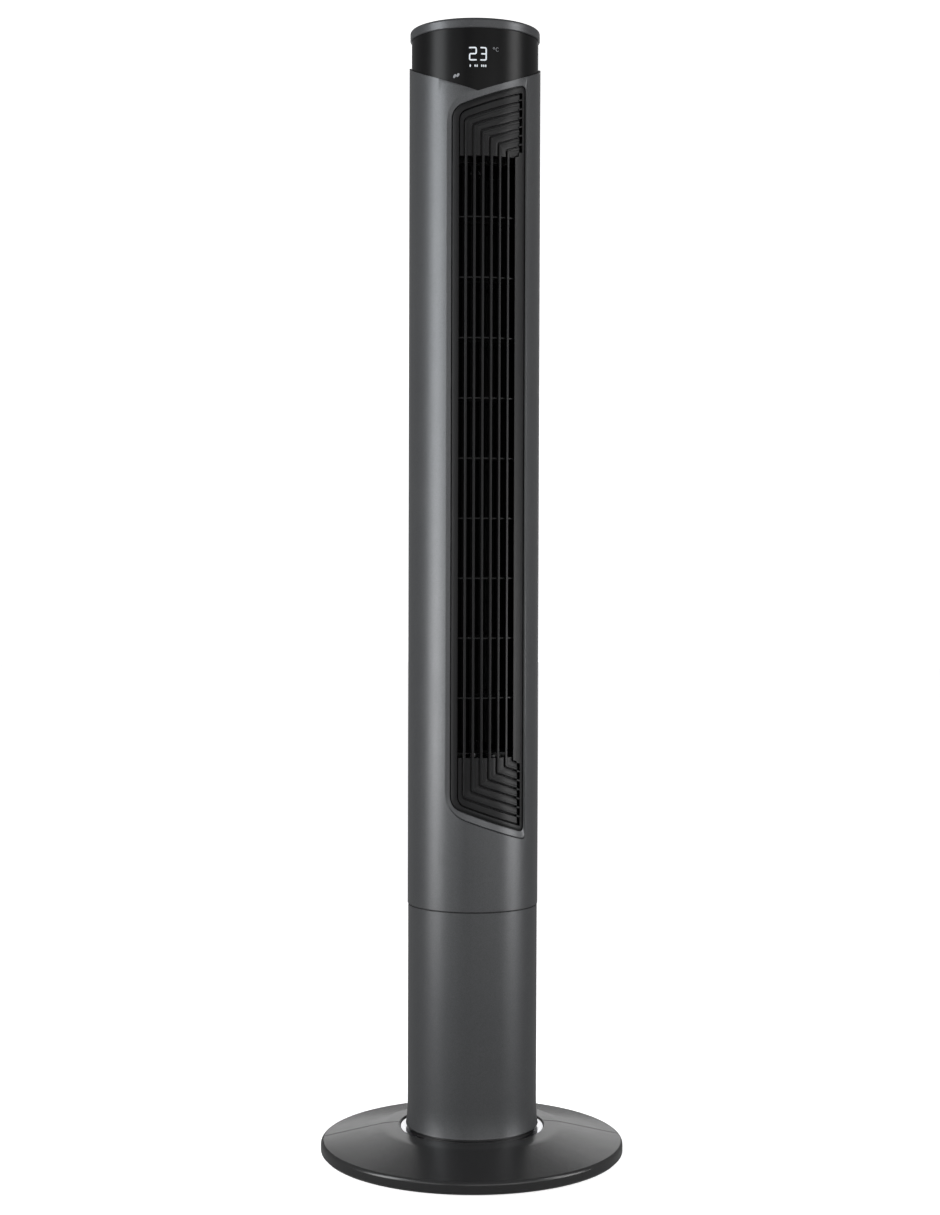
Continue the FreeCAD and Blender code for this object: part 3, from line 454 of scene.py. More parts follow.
def moulded(name, color, rough, grain_scale, grain_depth, rough_vary=0.04, specular=0.5):
    """Moulded or painted plastic: fine grain, faint patches of tone and of gloss."""
    material, nodes, links, shader, where = new_material(name)
    patches = noise(nodes, links, where, scale=18.0, detail=4.0)
    tone = ramp(nodes, links, patches, shade(color, 1.0 - TONE_VARY), shade(color, 1.0 + TONE_VARY))
    links.new(tone, shader.inputs["Base Color"])
    smudges = noise(nodes, links, where, scale=46.0, detail=5.0)
    links.new(spread(nodes, links, smudges, rough - rough_vary, rough + rough_vary),
              shader.inputs["Roughness"])
    grain = noise(nodes, links, where, scale=grain_scale, detail=2.0)
    bump(nodes, links, shader, grain, grain_depth)
    shader.inputs["Specular IOR Level"].default_value = specular
    return material


def base_plastic(name, color, rough):
    """Gloss plastic of the base, dished along the line where its two halves meet."""
    material = moulded(name, color, rough, 1500.0, 0.00002)
    nodes, links = material.node_tree.nodes, material.node_tree.links
    shader = nodes["Principled BSDF"]
    axes = nodes.new("ShaderNodeSeparateXYZ")
    links.new(nodes.new("ShaderNodeTexCoord").outputs["Object"], axes.inputs["Vector"])
    offset = nodes.new("ShaderNodeMath")
    offset.operation = "SUBTRACT"
    offset.inputs[1].default_value = BASE_SEAM_Y * MM
    links.new(axes.outputs["Y"], offset.inputs[0])
    away = nodes.new("ShaderNodeMath")
    away.operation = "ABSOLUTE"
    links.new(offset.outputs["Value"], away.inputs[0])
    groove = nodes.new("ShaderNodeMapRange")
    groove.inputs["From Max"].default_value = BASE_SEAM_DISH * MM
    links.new(away.outputs["Value"], groove.inputs["Value"])
    dip = nodes.new("ShaderNodeBump")
    dip.inputs["Distance"].default_value = BASE_SEAM_DISH * MM
    links.new(groove.outputs["Result"], dip.inputs["Height"])
    links.new(shader.inputs["Normal"].links[0].from_socket, dip.inputs["Normal"])
    links.new(dip.outputs["Normal"], shader.inputs["Normal"])
    return material


def metallic_paint(name, color, rough):
    """Satin metallic lacquer: tiny flakes that differ in tone."""
    material, nodes, links, shader, where = new_material(name)
    flakes = nodes.new("ShaderNodeTexVoronoi")
    flakes.inputs["Scale"].default_value = 3200.0
    links.new(where, flakes.inputs["Vector"])
    flake_tone = ramp(nodes, links, flakes.outputs["Color"], shade(color, 0.8), shade(color, 1.25),
                      0.1, 0.9)
    patches = noise(nodes, links, where, 9.0, 3.0)
    patch_tone = ramp(nodes, links, patches, (0.94, 0.94, 0.95), (1.0, 1.0, 1.0))
    blend = nodes.new("ShaderNodeMix")
    blend.data_type = "RGBA"
    blend.blend_type = "MULTIPLY"
    blend.inputs["Factor"].default_value = 1.0
    links.new(flake_tone, blend.inputs["A"])
    links.new(patch_tone, blend.inputs["B"])
    links.new(blend.outputs["Result"], shader.inputs["Base Color"])
    smudges = noise(nodes, links, where, 30.0, 5.0)
    links.new(spread(nodes, links, smudges, rough - 0.025, rough + 0.025),
              shader.inputs["Roughness"])
    bump(nodes, links, shader, noise(nodes, links, where, 900.0, 3.0), 0.000012)
    shader.inputs["Metallic"].default_value = 0.55
    shader.inputs["Specular IOR Level"].default_value = 0.5
    return material


def metal(name, color, rough, stretch=(1.0, 1.0, 30.0)):
    """Bare or plated metal with fine machining lines and faint stains."""
    material, nodes, links, shader, where = new_material(name)
    stains = noise(nodes, links, where, 60.0, 4.0)
    links.new(ramp(nodes, links, stains, shade(color, 0.9), color), shader.inputs["Base Color"])
    lines = noise(nodes, links, where, 160.0, 4.0, 0.7, stretch)
    links.new(spread(nodes, links, lines, rough - 0.05, rough + 0.07), shader.inputs["Roughness"])
    bump(nodes, links, shader, lines, METAL_LINE_DEPTH)
    shader.inputs["Metallic"].default_value = 1.0
    return material


def circuit(name, color):
    """Lacquered circuit board: copper tracks showing through the mask as paler lines."""
    material, nodes, links, shader, where = new_material(name)
    tracks = nodes.new("ShaderNodeTexBrick")
    tracks.inputs["Scale"].default_value = 160.0
    tracks.inputs["Mortar Size"].default_value = 0.03
    tracks.inputs["Color1"].default_value = (*shade(color, 0.8), 1.0)
    tracks.inputs["Color2"].default_value = (*shade(color, 1.1), 1.0)
    tracks.inputs["Mortar"].default_value = (*shade(color, 2.2), 1.0)
    links.new(where, tracks.inputs["Vector"])
    links.new(tracks.outputs["Color"], shader.inputs["Base Color"])
    dust = noise(nodes, links, where, 90.0)
    links.new(spread(nodes, links, dust, 0.22, 0.4), shader.inputs["Roughness"])
    bump(nodes, links, shader, tracks.outputs["Fac"], 0.00004)
    return material


def lit(name, color, strength):
    """Lamp light through a mask: a little uneven across each mark."""
    material, nodes, links, shader, where = new_material(name)
    glow = noise(nodes, links, where, 500.0, 2.0)
    tone = ramp(nodes, links, glow, shade(color, LIT_LOW), color)
    links.new(tone, shader.inputs["Base Color"])
    links.new(tone, shader.inputs["Emission Color"])
    shader.inputs["Emission Strength"].default_value = strength
    shader.inputs["Roughness"].default_value = 0.3
    return material


SLOT_MATERIALS = {
    "shell_grey": metallic_paint("shell_grey", (0.085, 0.087, 0.09), 0.36),
    "window_black": moulded("window_black", (0.003, 0.003, 0.0033), 0.31, 120.0, 0.000002,
                            rough_vary=0.02, specular=0.18),
    "grille_black": moulded("grille_black", (0.0065, 0.0065, 0.007), 0.38, 1600.0, 0.00003,
                            specular=0.22),
    "base_black": base_plastic("base_black", (0.02, 0.02, 0.0205), 0.24),
    # Dark plastic made darker and duller than the parts' own slot: painted shade for the inside of
    # the duct.
    "duct_black_and_shade": moulded("duct_black_and_shade", (0.003, 0.003, 0.0031), 0.7, 900.0, 0.00004,
                          specular=0.15),
    "chrome_trim": metal("chrome_trim", (0.9, 0.9, 0.92), 0.14),
    "rubber": moulded("rubber", (0.018, 0.018, 0.018), 0.75, 900.0, 0.00006),
    "steel": metal("steel", (0.6, 0.6, 0.61), 0.32),
    "frame_plastic": moulded("frame_plastic", (0.008, 0.008, 0.0085), 0.5, 800.0, 0.00003),
    "gear_plastic": moulded("gear_plastic", (0.72, 0.7, 0.64), 0.42, 700.0, 0.00003),
    "bearing_bronze": metal("bearing_bronze", (0.62, 0.42, 0.2), 0.35),
    "motor_metal": metal("motor_metal", (0.36, 0.37, 0.38), 0.4, (1.0, 1.0, 60.0)),
    "circuit_board": circuit("circuit_board", (0.012, 0.07, 0.025)),
    "display_led": lit("display_led", (0.5, 0.53, 0.56), 0.8),
    "display_faint": lit("display_faint", (0.3, 0.31, 0.33), 0.09),
    "button_plastic": moulded("button_plastic", (0.018, 0.018, 0.019), 0.32, 1400.0, 0.00002),
    "cable_sleeve": moulded("cable_sleeve", (0.015, 0.015, 0.016), 0.6, 1200.0, 0.00005),
}

# Parts inside the duct take a darker, duller black than their own slot: dark plastic with painted
# shade for the depth of the duct.
DUCT_NODES = ("cross_flow_wheel", "duct_tongue", "lower_end_plate", "upper_end_plate",
              "volute_wall")


def dress_cad_nodes():
    slots = {entry["node"]: entry["material_slot"] for entry in frame["record"]["subparts"]}
    for node, cad in frame["nodes"].items():
        cad.data.materials.clear()
        # Painted shade: the duct's inner parts get the extra-dark black instead of their slot's
        # material.
        look = "duct_black_and_shade" if node in DUCT_NODES else slots[node]
        cad.data.materials.append(SLOT_MATERIALS[look])


# ---- floor, lights and camera: metres and degrees, but the sensor and lens in millimetres ----
WHITE = (1.0, 1.0, 1.0, 1.0)
NEUTRAL, COOL = (1.0, 1.0, 1.0), (0.95, 0.98, 1.0)
# Name, azimuth (0 in front, positive to the right), distance, height, size, power, the height
# it looks at, colour.
SOFT_BOXES = (
    ("left_strip", -69.5, 1.6, 1.15, (0.72, 1.1), 16.0, 1.15, COOL),
    ("left_strip_low", -69.5, 1.6, 0.32, (0.72, 0.56), 9.2, 0.32, NEUTRAL),
    ("right_strip", 71.5, 1.7, 1.15, (0.8, 1.1), 6.4, 1.15, NEUTRAL),
    ("right_strip_low", 71.5, 1.7, 0.32, (0.8, 0.56), 9.4, 0.32, NEUTRAL),
    ("right_strip_top", 71.5, 1.7, 1.52, (0.5, 0.32), 3.2, 1.2, NEUTRAL),
    ("front_fill", 12.0, 3.2, 0.9, (2.6, 1.5), 18.0, 0.5, NEUTRAL),
    ("left_fill", -36.0, 2.6, 0.8, (1.2, 1.6), 8.4, 0.5, NEUTRAL),
    ("right_fill", 38.0, 2.6, 0.8, (1.2, 1.6), 5.8, 0.5, NEUTRAL),
)
WORLD_STRENGTH = 0.22
FLOOR_SIZE, FLOOR_GLOW = 22.0, 0.8
FLOOR_TONES = (0.93, 0.93, 0.93), (0.96, 0.96, 0.96)
BACKDROP_R, BACKDROP_H, BACKDROP_MID_Z, BACKDROP_GLOW = 9.0, 18.0, 8.0, 1.0
CARD_AT, CARD_SCALE, CARD_GLOW = (0.3, 3.0, 1.1), (1.9, 1.8, 1.0), 0.6
CAMERA_DISTANCE, CAMERA_HEIGHT, CAMERA_SIDE = 2.089, 0.6016, 2.6
CAMERA_PITCH, CAMERA_YAW, CAMERA_ROLL = 1.624, 0.092, 0.176
SENSOR_W, LENS = 36.0, 62.57


def area_light(name, azimuth, distance, height, size, power, aim, color):
    """A soft box that looks at the column's axis."""
    data = bpy.data.lights.new(name, "AREA")
    data.shape = "RECTANGLE"
    data.size, data.size_y = size
    data.energy = power
    data.color = color
    light = bpy.data.objects.new(name, data)
    angle = math.radians(azimuth)
    light.location = (distance * math.sin(angle), -distance * math.cos(angle), height)
    look = Vector((0.0, 0.0, aim)) - light.location
    light.rotation_euler = look.to_track_quat("-Z", "Y").to_euler()
    scene.collection.objects.link(light)


def build_lights():
    world = bpy.data.worlds.new("studio")
    scene.world = world
    world.use_nodes = True
    world.node_tree.nodes["Background"].inputs["Color"].default_value = WHITE
    world.node_tree.nodes["Background"].inputs["Strength"].default_value = WORLD_STRENGTH
    for box in SOFT_BOXES:
        area_light(*box)
    scene.view_settings.view_transform = "Standard"


def build_floor():
    bpy.ops.mesh.primitive_plane_add(size=FLOOR_SIZE, location=(0, 0, 0))
    floor = bpy.context.object
    floor.name = "floor"
    material, nodes, links, shader, where = new_material("floor_white")
    grain = noise(nodes, links, where, scale=3.0)
    links.new(ramp(nodes, links, grain, *FLOOR_TONES), shader.inputs["Base Color"])
    shader.inputs["Roughness"].default_value = 0.9
    shader.inputs["Emission Color"].default_value = WHITE
    shader.inputs["Emission Strength"].default_value = FLOOR_GLOW
    floor.visible_glossy = False
    floor.visible_diffuse = False
    floor.data.materials.append(material)


def glowing_white(name, strength):
    """Plain white that gives off light."""
    material = new_material(name)[0]
    shader = material.node_tree.nodes["Principled BSDF"]
    shader.inputs["Base Color"].default_value = WHITE
    shader.inputs["Emission Color"].default_value = WHITE
    shader.inputs["Emission Strength"].default_value = strength
    return material


def build_backdrop():
    """A round white wall, so that views from all sides are pale; only the camera sees it."""
    bpy.ops.mesh.primitive_cylinder_add(vertices=96, radius=BACKDROP_R, depth=BACKDROP_H,
                                        location=(0, 0, BACKDROP_MID_Z), end_fill_type="NOTHING")
    wall = bpy.context.object
    wall.name = "backdrop"
    wall.data.materials.append(glowing_white("backdrop_white", BACKDROP_GLOW))
    wall.visible_glossy = False
    wall.visible_diffuse = False
    wall.visible_shadow = False


def build_reflector():
    """A white card behind the fan, seen only in reflections."""
    bpy.ops.mesh.primitive_plane_add(size=1.0, location=CARD_AT, rotation=(math.radians(90), 0, 0))
    card = bpy.context.object
    card.name = "reflector_card"
    card.scale = CARD_SCALE
    card.data.materials.append(glowing_white("card_white", CARD_GLOW))
    card.visible_camera = False
    card.visible_diffuse = False
    card.visible_shadow = False


def build_camera():
    """Stands a little above mid height, 2.6 degrees to the left of straight ahead."""
    side = math.radians(CAMERA_SIDE)
    pitch, yaw, roll = (math.radians(a) for a in (CAMERA_PITCH, CAMERA_YAW, CAMERA_ROLL))
    data = bpy.data.cameras.new("camera")
    data.sensor_width = SENSOR_W
    data.lens = LENS
    camera = bpy.data.objects.new("camera", data)
    camera.location = (-CAMERA_DISTANCE * math.sin(side), -CAMERA_DISTANCE * math.cos(side),
                       CAMERA_HEIGHT)
    turn = (Matrix.Rotation(-side + yaw, 4, "Z") @ Matrix.Rotation(math.pi / 2 - pitch, 4, "X")
            @ Matrix.Rotation(roll, 4, "Z"))
    camera.rotation_euler = turn.to_euler()
    scene.collection.objects.link(camera)
    scene.camera = camera


# ---- front grille ----
CORNER_RADII = {-1: GRILLE_CORNER_R, 0: 5.0, BAR_COUNT: 0.8}
GROOVE_CORNER_R, POCKET_BEND = 1.2, 0.8
RUN_UP, RUN_BEND, RUN_SLANT = 8, 6, 16
SLAT_STATIONS = 24
BLOCK_FACE_R = 62.2
BLOCK_IN, BLOCK_DROP, BLOCK_END_DROP, BLOCK_END_IN = (0.12, 0.35, 0.5), (0.4, 0.12), 0.3, 0.25
STRIP_GAP, WALL_LAP, RIB_LAP = 0.6, 0.6, 0.4
WALL_ABOVE_LOW, WALL_BELOW_TOP = 7.8, 5.8
TOP_RIB, LOW_RIB, RIB_FACE_R = (1.0, 2.7), (7.8, 9.75), 62.0
LONG_ROWS, RIB_ROWS = 40, 2
POCKET_BACK_X = (40.0, 44.4)
POCKET_BACK_Z = ((325.0, OPEN_LOW_Z), (OPEN_HIGH_Z, 1047.0))
BAR_SIDE_R, BAR_SHOULDER_R = 61.7, 62.05
BAR_IN, BAR_SHOULDER_IN = 0.45, 0.15
TIE_ROUND, TIE_LAP = 0.2, 0.5
# Share of the way across the border, from the gap beside the shell, and the radius there.
BORDER_PROFILE = ((0.0, LAP_R), (0.0, 61.8), (0.03, 62.1), (0.08, GRILLE_R), (0.5, GRILLE_R),
                  (0.93, GRILLE_R), (0.98, 62.1), (1.0, 61.8), (1.0, POCKET_FLOOR_R))
LAP_EDGE_R = LAP_R + 0.3

# The duct's screen: radius about the wheel's axis, thickness, the angles it runs through, and how
# far in from the tongue's corner it starts.
GUARD_R, GUARD_T = 43.0, 1.6
GUARD_FROM, GUARD_TO, GUARD_PARTS = -12.0, 40.0, 13
GUARD_ROOT_NEAR, GUARD_ROOT_FAR = (2.6, 0.3), (0.5, 2.0)


def line_z(k, x, top):
    """Height of slanted groove k at x, above or below the open part of the grille."""
    if top:
        return LINE_TOP_Z + LINE_TOP_STEP * k + OUTLET_TOP_SLOPE * (x - LINE_REF_X)
    return LINE_LOW_Z + LINE_LOW_STEP * k + OUTLET_LOW_SLOPE * (x - LINE_REF_X)


def groove_x(k):
    """Where groove k runs upright; groove -1 runs on from the left strip's edge."""
    if k < 0:
        return LEFT_STRIP_X
    return BAR_FIRST_X + BAR_PITCH * k - BAR_W / 2.0 - GROOVE_HALF_W


def groove_path(k, top):
    """Stations along groove k: up from the open part, round its corner, then along its slant."""
    x = groove_x(k)
    start = (x, OPEN_HIGH_Z if top else OPEN_LOW_Z)
    corner = (x, line_z(k, x, top))
    end = (POCKET_X0, line_z(k, POCKET_X0, top))
    reach = bend_length(CORNER_RADII.get(k, GROOVE_CORNER_R), LEFT_HALF_ANGLE)
    bend_start, bend_end = toward(corner, start, reach), toward(corner, end, reach)
    path = [mix_pair(start, bend_start, j / RUN_UP) for j in range(RUN_UP)]
    path += [bezier(bend_start, corner, bend_end, j / RUN_BEND) for j in range(RUN_BEND)]
    return path + [mix_pair(bend_end, end, j / RUN_SLANT) for j in range(RUN_SLANT + 1)]


# Share of the way from one groove to the next, and the radius there: the groove, the bar's
# rounded face, then the louvre sinking away to the next groove.
LOUVRE = ((0.0, 59.4), (0.05, 59.5), (0.075, 61.7), (0.095, 62.1), (0.12, 62.2), (0.33, 62.2),
          (0.355, 62.1), (0.38, 61.6), (0.6, 61.4), (0.88, 61.1), (0.915, 60.9), (0.94, 59.5),
          (1.0, 59.4))
FIRST_LOUVRE = ((0.0, 57.0), (0.02, 59.4), (0.1, 59.5), (0.14, 61.2), (0.2, 61.5), (0.6, 61.4),
                (0.86, 61.2), (0.9, 60.9), (0.93, 59.5), (1.0, 59.4))


def add_louvres(b, top):
    for k in range(-1, BAR_COUNT):
        profile = FIRST_LOUVRE if k < 0 else LOUVRE
        near, far = groove_path(k, top), groove_path(k + 1, top)
        rows = []
        for p, q in zip(near, far):
            rows.append([front_point(*mix_pair(p, q, share), r) for share, r in profile])
        b.grid(rows)
        for p, q, floor_r in ((near[0], far[0], GRILLE_BACK_R), (near[-1], far[-1], POCKET_FLOOR_R)):
            face = [front_point(*mix_pair(p, q, share), r) for share, r in profile]
            foot = [front_point(*mix_pair(p, q, share), floor_r) for share, _ in profile]
            b.grid([face, foot])


def grille_inner_loop():
    soft = bend_length(GRILLE_CORNER_R, LEFT_HALF_ANGLE)
    corners = []
    for x, top, reach in ((LEFT_STRIP_X, False, soft), (POCKET_X1, False, POCKET_BEND),
                          (POCKET_X1, True, POCKET_BEND), (LEFT_STRIP_X, True, soft)):
        corners.append((x, line_z(-1, x, top), reach))
    return loop_stations(corners)


def add_outer_strip(b):
    """The insert's border, from the lap behind the shell to the first groove."""
    outer, inner, lap = outlet_loop(-GRILLE_GAP), grille_inner_loop(), outlet_loop(GRILLE_LAP)
    rows = [[front_point(x, z, LAP_EDGE_R) for x, z in lap]]
    for share, r in BORDER_PROFILE:
        rows.append([front_point(*mix_pair(p, q, share), r) for p, q in zip(outer, inner)])
    b.grid(rows, closed=True)


def add_block(b, x0, x1, low, high, floor_r, rows, face_r=BLOCK_FACE_R):
    """A block on the grille between x0 and x1, from height low(x) to high(x), edges rounded."""
    edge, shoulder, flat = BLOCK_IN
    deep, slight = BLOCK_DROP
    xs = [x0, x0, x0 + edge, x0 + shoulder] + steps(x0 + flat, x1 - flat, 3)
    xs += [x1 - shoulder, x1 - edge, x1, x1]
    drops = [None, deep, slight, 0.0] + [0.0] * 4 + [0.0, slight, deep, None]
    shares = [0.0, 0.0] + steps(0.0, 1.0, rows) + [1.0, 1.0]
    insets = [None, BLOCK_END_DROP] + [0.0] * (rows + 1) + [BLOCK_END_DROP, None]
    grid = []
    for share, inset in zip(shares, insets):
        row = []
        for x, drop in zip(xs, drops):
            if inset is None or drop is None:
                r = floor_r
            else:
                r = face_r - max(drop, inset)
            at_end = inset in (None, BLOCK_END_DROP)
            margin = 0.0 if at_end else BLOCK_END_IN * (1.0 - 2.0 * share)
            row.append(front_point(x, mix(low(x), high(x), share) + margin, r))
        grid.append(row)
    b.grid(grid)


def add_right_side(b):
    """The wide right strip beside the open part, and the ribs between the pockets."""
    last = BAR_COUNT
    add_block(b, RIGHT_STRIP_X, POCKET_X0, lambda x: line_z(last, x, False) + STRIP_GAP,
              lambda x: line_z(last, x, True) - STRIP_GAP, GRILLE_BACK_R, LONG_ROWS)
    add_block(b, POCKET_X0 - WALL_LAP, POCKET_X1 + WALL_LAP,
              lambda x: line_z(last - 1, x, False) + WALL_ABOVE_LOW,
              lambda x: line_z(last - 1, x, True) - WALL_BELOW_TOP, POCKET_FLOOR_R, LONG_ROWS)
    for k in range(-1, last - 1):
        for line, top, (rib_low, rib_high) in ((k + 1, True, TOP_RIB), (k, False, LOW_RIB)):
            add_block(b, POCKET_X0 - RIB_LAP, POCKET_X1 + RIB_LAP,
                      lambda x: line_z(line, x, top) + rib_low,
                      lambda x: line_z(line, x, top) + rib_high,
                      POCKET_FLOOR_R, RIB_ROWS, RIB_FACE_R)
    for z0, z1 in POCKET_BACK_Z:
        b.grid([[front_point(x, z, POCKET_FLOOR_R) for x in steps(*POCKET_BACK_X, 4)]
                for z in steps(z0, z1, 6)])


def build_grille_frame():
    b = Builder()
    add_outer_strip(b)
    add_louvres(b, True)
    add_louvres(b, False)
    add_right_side(b)
    piece = b.done("grille_frame", "grille_black", "column", PART_SHARP)
    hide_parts("front_grille")


def build_bars():
    half = BAR_W / 2.0
    section = ((-half, GRILLE_BACK_R), (-half, BAR_SIDE_R), (BAR_SHOULDER_IN - half, BAR_SHOULDER_R),
               (BAR_IN - half, GRILLE_R), (half - BAR_IN, GRILLE_R),
               (half - BAR_SHOULDER_IN, BAR_SHOULDER_R), (half, BAR_SIDE_R), (half, GRILLE_BACK_R))
    for k in range(BAR_COUNT):
        middle = BAR_FIRST_X + BAR_PITCH * k
        b = Builder()
        b.grid([[front_point(middle + x, z, r) for x, r in section]
                for z in steps(OPEN_LOW_Z, OPEN_HIGH_Z, SLAT_STATIONS)], closed=True)
        b.done(f"grille_bar_{k + 1}", "grille_black", "column", PART_SHARP)


def build_ties():
    b = Builder()
    pitch = (OPEN_HIGH_Z - OPEN_LOW_Z) / (TIE_COUNT + 1)
    half = TIE_H / 2.0
    section = ((-half, TIE_R0), (-half, TIE_R1 - TIE_ROUND), (TIE_ROUND - half, TIE_R1),
               (half - TIE_ROUND, TIE_R1), (half, TIE_R1 - TIE_ROUND), (half, TIE_R0))
    for i in range(1, TIE_COUNT + 1):
        z = OPEN_LOW_Z + pitch * i
        b.grid([[front_point(x, z + dz, r) for dz, r in section]
                for x in steps(LEFT_STRIP_X - TIE_LAP, RIGHT_STRIP_X + TIE_LAP, SLAT_STATIONS)],
               closed=True)
    b.done("grille_ties", "grille_black", "column", PART_SHARP)


def build_duct_guard():
    """A thin screen that carries the duct's tongue on round the wheel, so no light comes past it."""
    wheel_low, wheel_high = span("cross_flow_wheel")
    centre_x, centre_y = (wheel_low.x + wheel_high.x) / 2.0, (wheel_low.y + wheel_high.y) / 2.0
    low, high = span("duct_tongue")
    plan = [[(high.x - dx, high.y - dy) for dx, dy in (GUARD_ROOT_NEAR, GUARD_ROOT_FAR)]]
    for degrees in steps(GUARD_FROM, GUARD_TO, GUARD_PARTS):
        a = math.radians(degrees)
        plan.append([(centre_x + r * math.cos(a), centre_y + r * math.sin(a))
                     for r in (GUARD_R, GUARD_R + GUARD_T)])
    b = Builder()
    rings = b.grid([[Vector((x, y, z)) * MM for (x, y), z in ((near, low.z), (far, low.z),
                                                              (far, high.z), (near, high.z))]
                    for near, far in plan], closed=True)
    b.face(rings[0])
    b.face(rings[-1])
    b.done("duct_guard", "grille_black", "column", PART_SHARP)


# ---- display marks, drawn as raised strokes on the dark band ----
MARK_R = BAND_R + 0.06
STROKE_STEP = 0.8
START_TURNS, END_TURNS = (-85.0, -60.0, -35.0, 0.0), (0.0, 35.0, 60.0, 85.0)
DIGIT_W, DIGIT_H, DIGIT_STROKE = 6.2, 11.6, 1.35
DIGIT_LEFT, DIGIT_PITCH, DIGIT_LOW_Z = -8.7, 10.8, 1066.4
DIGIT_CORNER, THREE_NARROWER, THREE_MIDDLE_IN = 1.4, 1.2, 0.8
LEVEL_LOW_Z, LEVEL_HIGH_Z, LEVEL_STROKE, LEVEL_PITCH = 1060.3, 1061.5, 1.15, 1.9
LEVEL_GROUPS = ((-7.4, 1), (-2.8, 2), (3.6, 3))
DEGREE_AT, DEGREE_R, DEGREE_STROKE = (15.3, 1078.0), 0.8, 0.38
SCALE_AT, SCALE_RX, SCALE_RZ, SCALE_STROKE = (18.9, 1077.0), 1.5, 1.7, 0.42
LOZENGE_AT, LOZENGE_HALF, LOZENGE_STROKE = ((-22.6, 1051.6), (-19.4, 1052.4)), (0.5, 0.7), 2.2


def add_stroke(b, path, width, place, lift=0.3):
    """A round-ended stroke along a path of (a, b) points, put in space by place(a, b, height)."""
    half = width / 2.0
    points = [path[0]]
    for p, q in zip(path, path[1:]):
        parts = max(1, math.ceil(math.hypot(q[0] - p[0], q[1] - p[1]) / STROKE_STEP))
        points += [mix_pair(p, q, i / parts) for i in range(1, parts + 1)]
    rows = []
    last = len(points) - 1
    for i, p in enumerate(points):
        a, c = points[max(0, i - 1)], points[min(last, i + 1)]
        length = math.hypot(c[0] - a[0], c[1] - a[1])
        along = ((c[0] - a[0]) / length, (c[1] - a[1]) / length)
        turns = [0.0]
        if i == 0:
            turns = START_TURNS
        if i == last:
            turns = END_TURNS
        for turn in turns:
            shift = half * math.sin(math.radians(turn))
            w = half * math.cos(math.radians(turn))
            x, z = p[0] + along[0] * shift, p[1] + along[1] * shift
            row = []
            for side, height in ((-1.0, -lift), (-1.0, 0.0), (0.0, 0.0), (1.0, 0.0), (1.0, -lift)):
                row.append(place(x - along[1] * w * side, z + along[0] * w * side, height))
            rows.append(row)
    b.grid(rows)


def on_band(a, z, height):
    theta = math.degrees(a / BAND_R)
    return polar(MARK_R + height, theta, z)


def digit_paths(digit, x, z, w, h):
    """The strokes of a rounded seven-segment digit."""
    left, right, low, middle, high = x, x + w, z, z + h / 2.0, z + h
    if digit == 2:
        return [rounded_path([(left, high), (right, high), (right, middle), (left, middle),
                              (left, low), (right, low)], DIGIT_CORNER)]
    outline = [(left, high), (right, high), (right, low), (left, low)]
    return [rounded_path(outline, DIGIT_CORNER), [(left + THREE_MIDDLE_IN, middle), (right, middle)]]


def build_digits():
    b = Builder()
    start = DIGIT_LEFT + DIGIT_STROKE / 2.0
    for digit, x, w in ((2, start, DIGIT_W), (3, start + DIGIT_PITCH, DIGIT_W - THREE_NARROWER)):
        for path in digit_paths(digit, x, DIGIT_LOW_Z, w, DIGIT_H):
            add_stroke(b, path, DIGIT_STROKE, on_band)
    b.done("display_digits", "display_led", "column", MARK_SHARP)


def build_level_marks():
    """Three groups of short marks under the digits."""
    b = Builder()
    for first, count in LEVEL_GROUPS:
        for i in range(count):
            x = first + LEVEL_PITCH * i
            add_stroke(b, [(x, LEVEL_LOW_Z), (x, LEVEL_HIGH_Z)], LEVEL_STROKE, on_band)
    b.done("display_level_marks", "display_led", "column", MARK_SHARP)


def oval_path(centre, rx, rz, degrees):
    return [(centre[0] + rx * math.cos(math.radians(t)), centre[1] + rz * math.sin(math.radians(t)))
            for t in degrees]


def build_faint_marks():
    """A degree sign with its scale's arc, and an air-flow mark, all generic."""
    b = Builder()
    add_stroke(b, oval_path(DEGREE_AT, DEGREE_R, DEGREE_R, range(0, 361, 30)), DEGREE_STROKE, on_band)
    add_stroke(b, oval_path(SCALE_AT, SCALE_RX, SCALE_RZ, range(50, 311, 26)), SCALE_STROKE, on_band)
    dx, dz = LOZENGE_HALF
    for x, z in LOZENGE_AT:
        add_stroke(b, [(x - dx, z - dz), (x + dx, z + dz)], LOZENGE_STROKE, on_band)
    b.done("display_faint_marks", "display_faint", "column", MARK_SHARP)


# ---- buttons ----
# Radius, and height relative to the top, from the dish's middle down to the stem's end.
CAP_PROFILE = ((0.0, -0.35), (1.5, -0.34), (3.0, -0.28), (4.2, -0.14), (4.9, -0.03), (5.15, 0.0),
               (5.35, -0.08), (5.47, -0.25), (5.5, -0.5), (5.5, -4.1), (6.5, -4.1), (6.5, -6.4),
               (2.0, -6.4), (2.0, -10.6), (0.0, -10.6))
CAP_SIDES = 48
DISH_DEPTH, DISH_CURVE = 0.35, 0.0135
ICON_RAISE, ICON_STROKE, ICON_LIFT = 0.05, 0.5, 0.1


def button_centre(node):
    low, high = span(node)
    return (low.x + high.x) / 2.0, (low.y + high.y) / 2.0, high.z


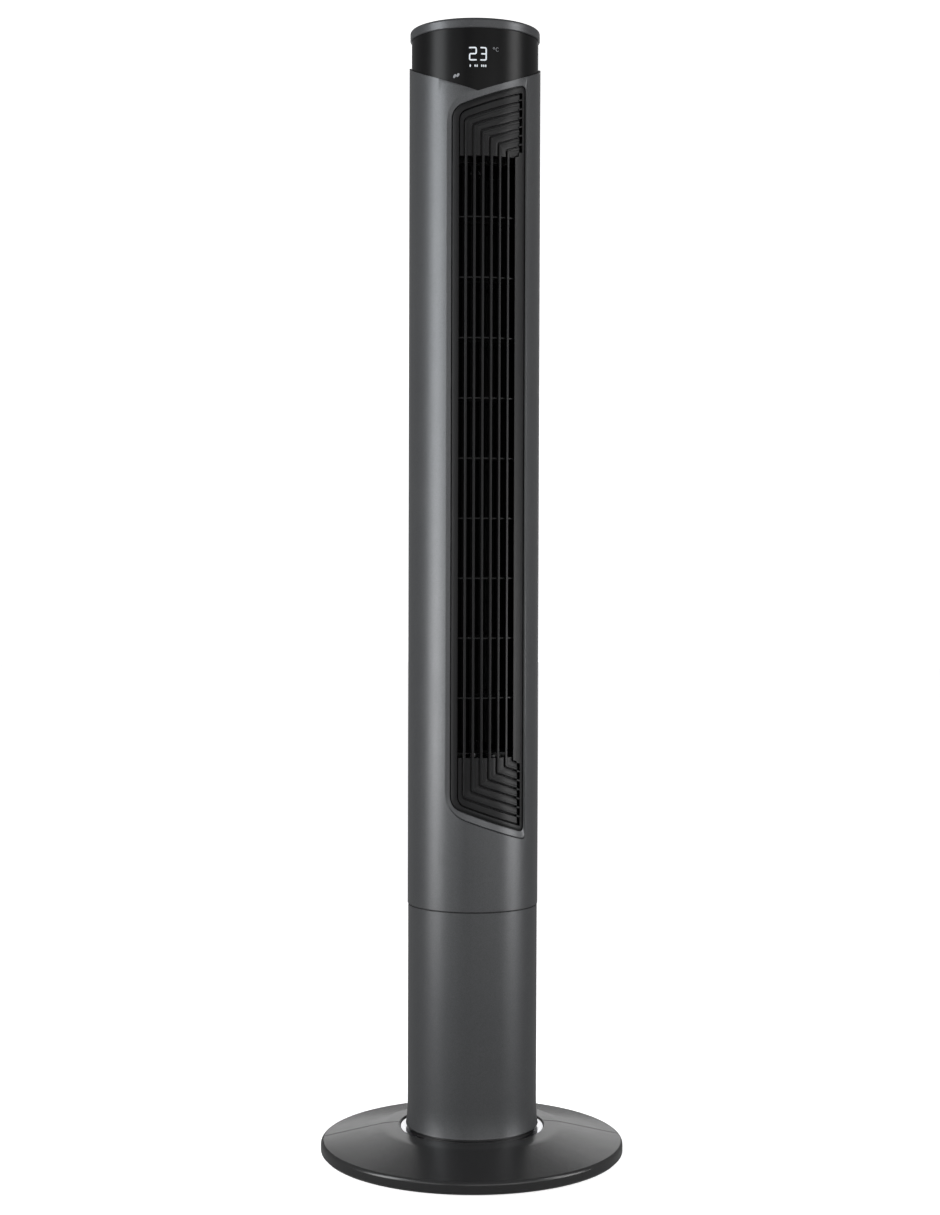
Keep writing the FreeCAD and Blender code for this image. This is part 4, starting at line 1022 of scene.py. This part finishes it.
def build_button(node, icon_paths):
    """A dished push button with a printed mark."""
    x, y, top = button_centre(node)
    b = Builder()
    rows = []
    for r, dz in CAP_PROFILE:
        ring = []
        for i in range(CAP_SIDES):
            a = math.radians(360.0 / CAP_SIDES * i)
            ring.append(Vector((x + r * math.cos(a), y + r * math.sin(a), top + dz)) * MM)
        rows.append(ring)
    b.grid(rows, closed=True)
    piece = b.done(node + "_cap", "button_plastic", node, MARK_SHARP)
    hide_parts(node)

    def on_top(a, c, height):
        dish = -DISH_DEPTH + DISH_CURVE * (a * a + c * c)
        return Vector((x + a, y + c, top + dish + ICON_RAISE + height)) * MM
    b = Builder()
    for path in icon_paths:
        add_stroke(b, path, ICON_STROKE, on_top, ICON_LIFT)
    b.done(node + "_mark", "display_faint", node, MARK_SHARP)


def arc_path(cx, cy, r, start, end):
    count = max(4, round(abs(end - start) / 20.0))
    return [(cx + r * math.cos(math.radians(t)), cy + r * math.sin(math.radians(t)))
            for t in steps(start, end, count)]


def build_buttons():
    build_button("power_button", [arc_path(0, 0, 1.9, 125.0, 415.0), [(0, 0.6), (0, 2.5)]])
    build_button("speed_button", [[(-1.8, -1.5), (-1.8, -0.6)], [(0, -1.5), (0, 0.5)],
                                  [(1.8, -1.5), (1.8, 1.7)]])
    build_button("mode_button", [arc_path(-1.3, 0.6, 0.8, 180.0, 0.0),
                                 arc_path(0.3, 0.6, 0.8, 180.0, 360.0),
                                 arc_path(-1.3, -1.2, 0.8, 180.0, 0.0),
                                 arc_path(0.3, -1.2, 0.8, 180.0, 360.0)])
    build_button("timer_button", [arc_path(0, 0, 2.1, 0.0, 360.0), [(0, 1.2), (0, 0), (0.9, -0.5)]])
    build_button("swing_button", [arc_path(0, -1.6, 2.6, 40.0, 140.0), [(-2.4, 1.1), (-2.0, 0.0)],
                                  [(-2.0, 0.0), (-0.9, 0.4)], [(2.4, 1.1), (2.0, 0.0)],
                                  [(2.0, 0.0), (0.9, 0.4)]])


build_camera()
build_lights()
build_floor()
build_backdrop()
build_reflector()
dress_cad_nodes()
build_front_shell()
build_grille_frame()
build_bars()
build_ties()
build_duct_guard()
build_digits()
build_level_marks()
build_faint_marks()
build_buttons()
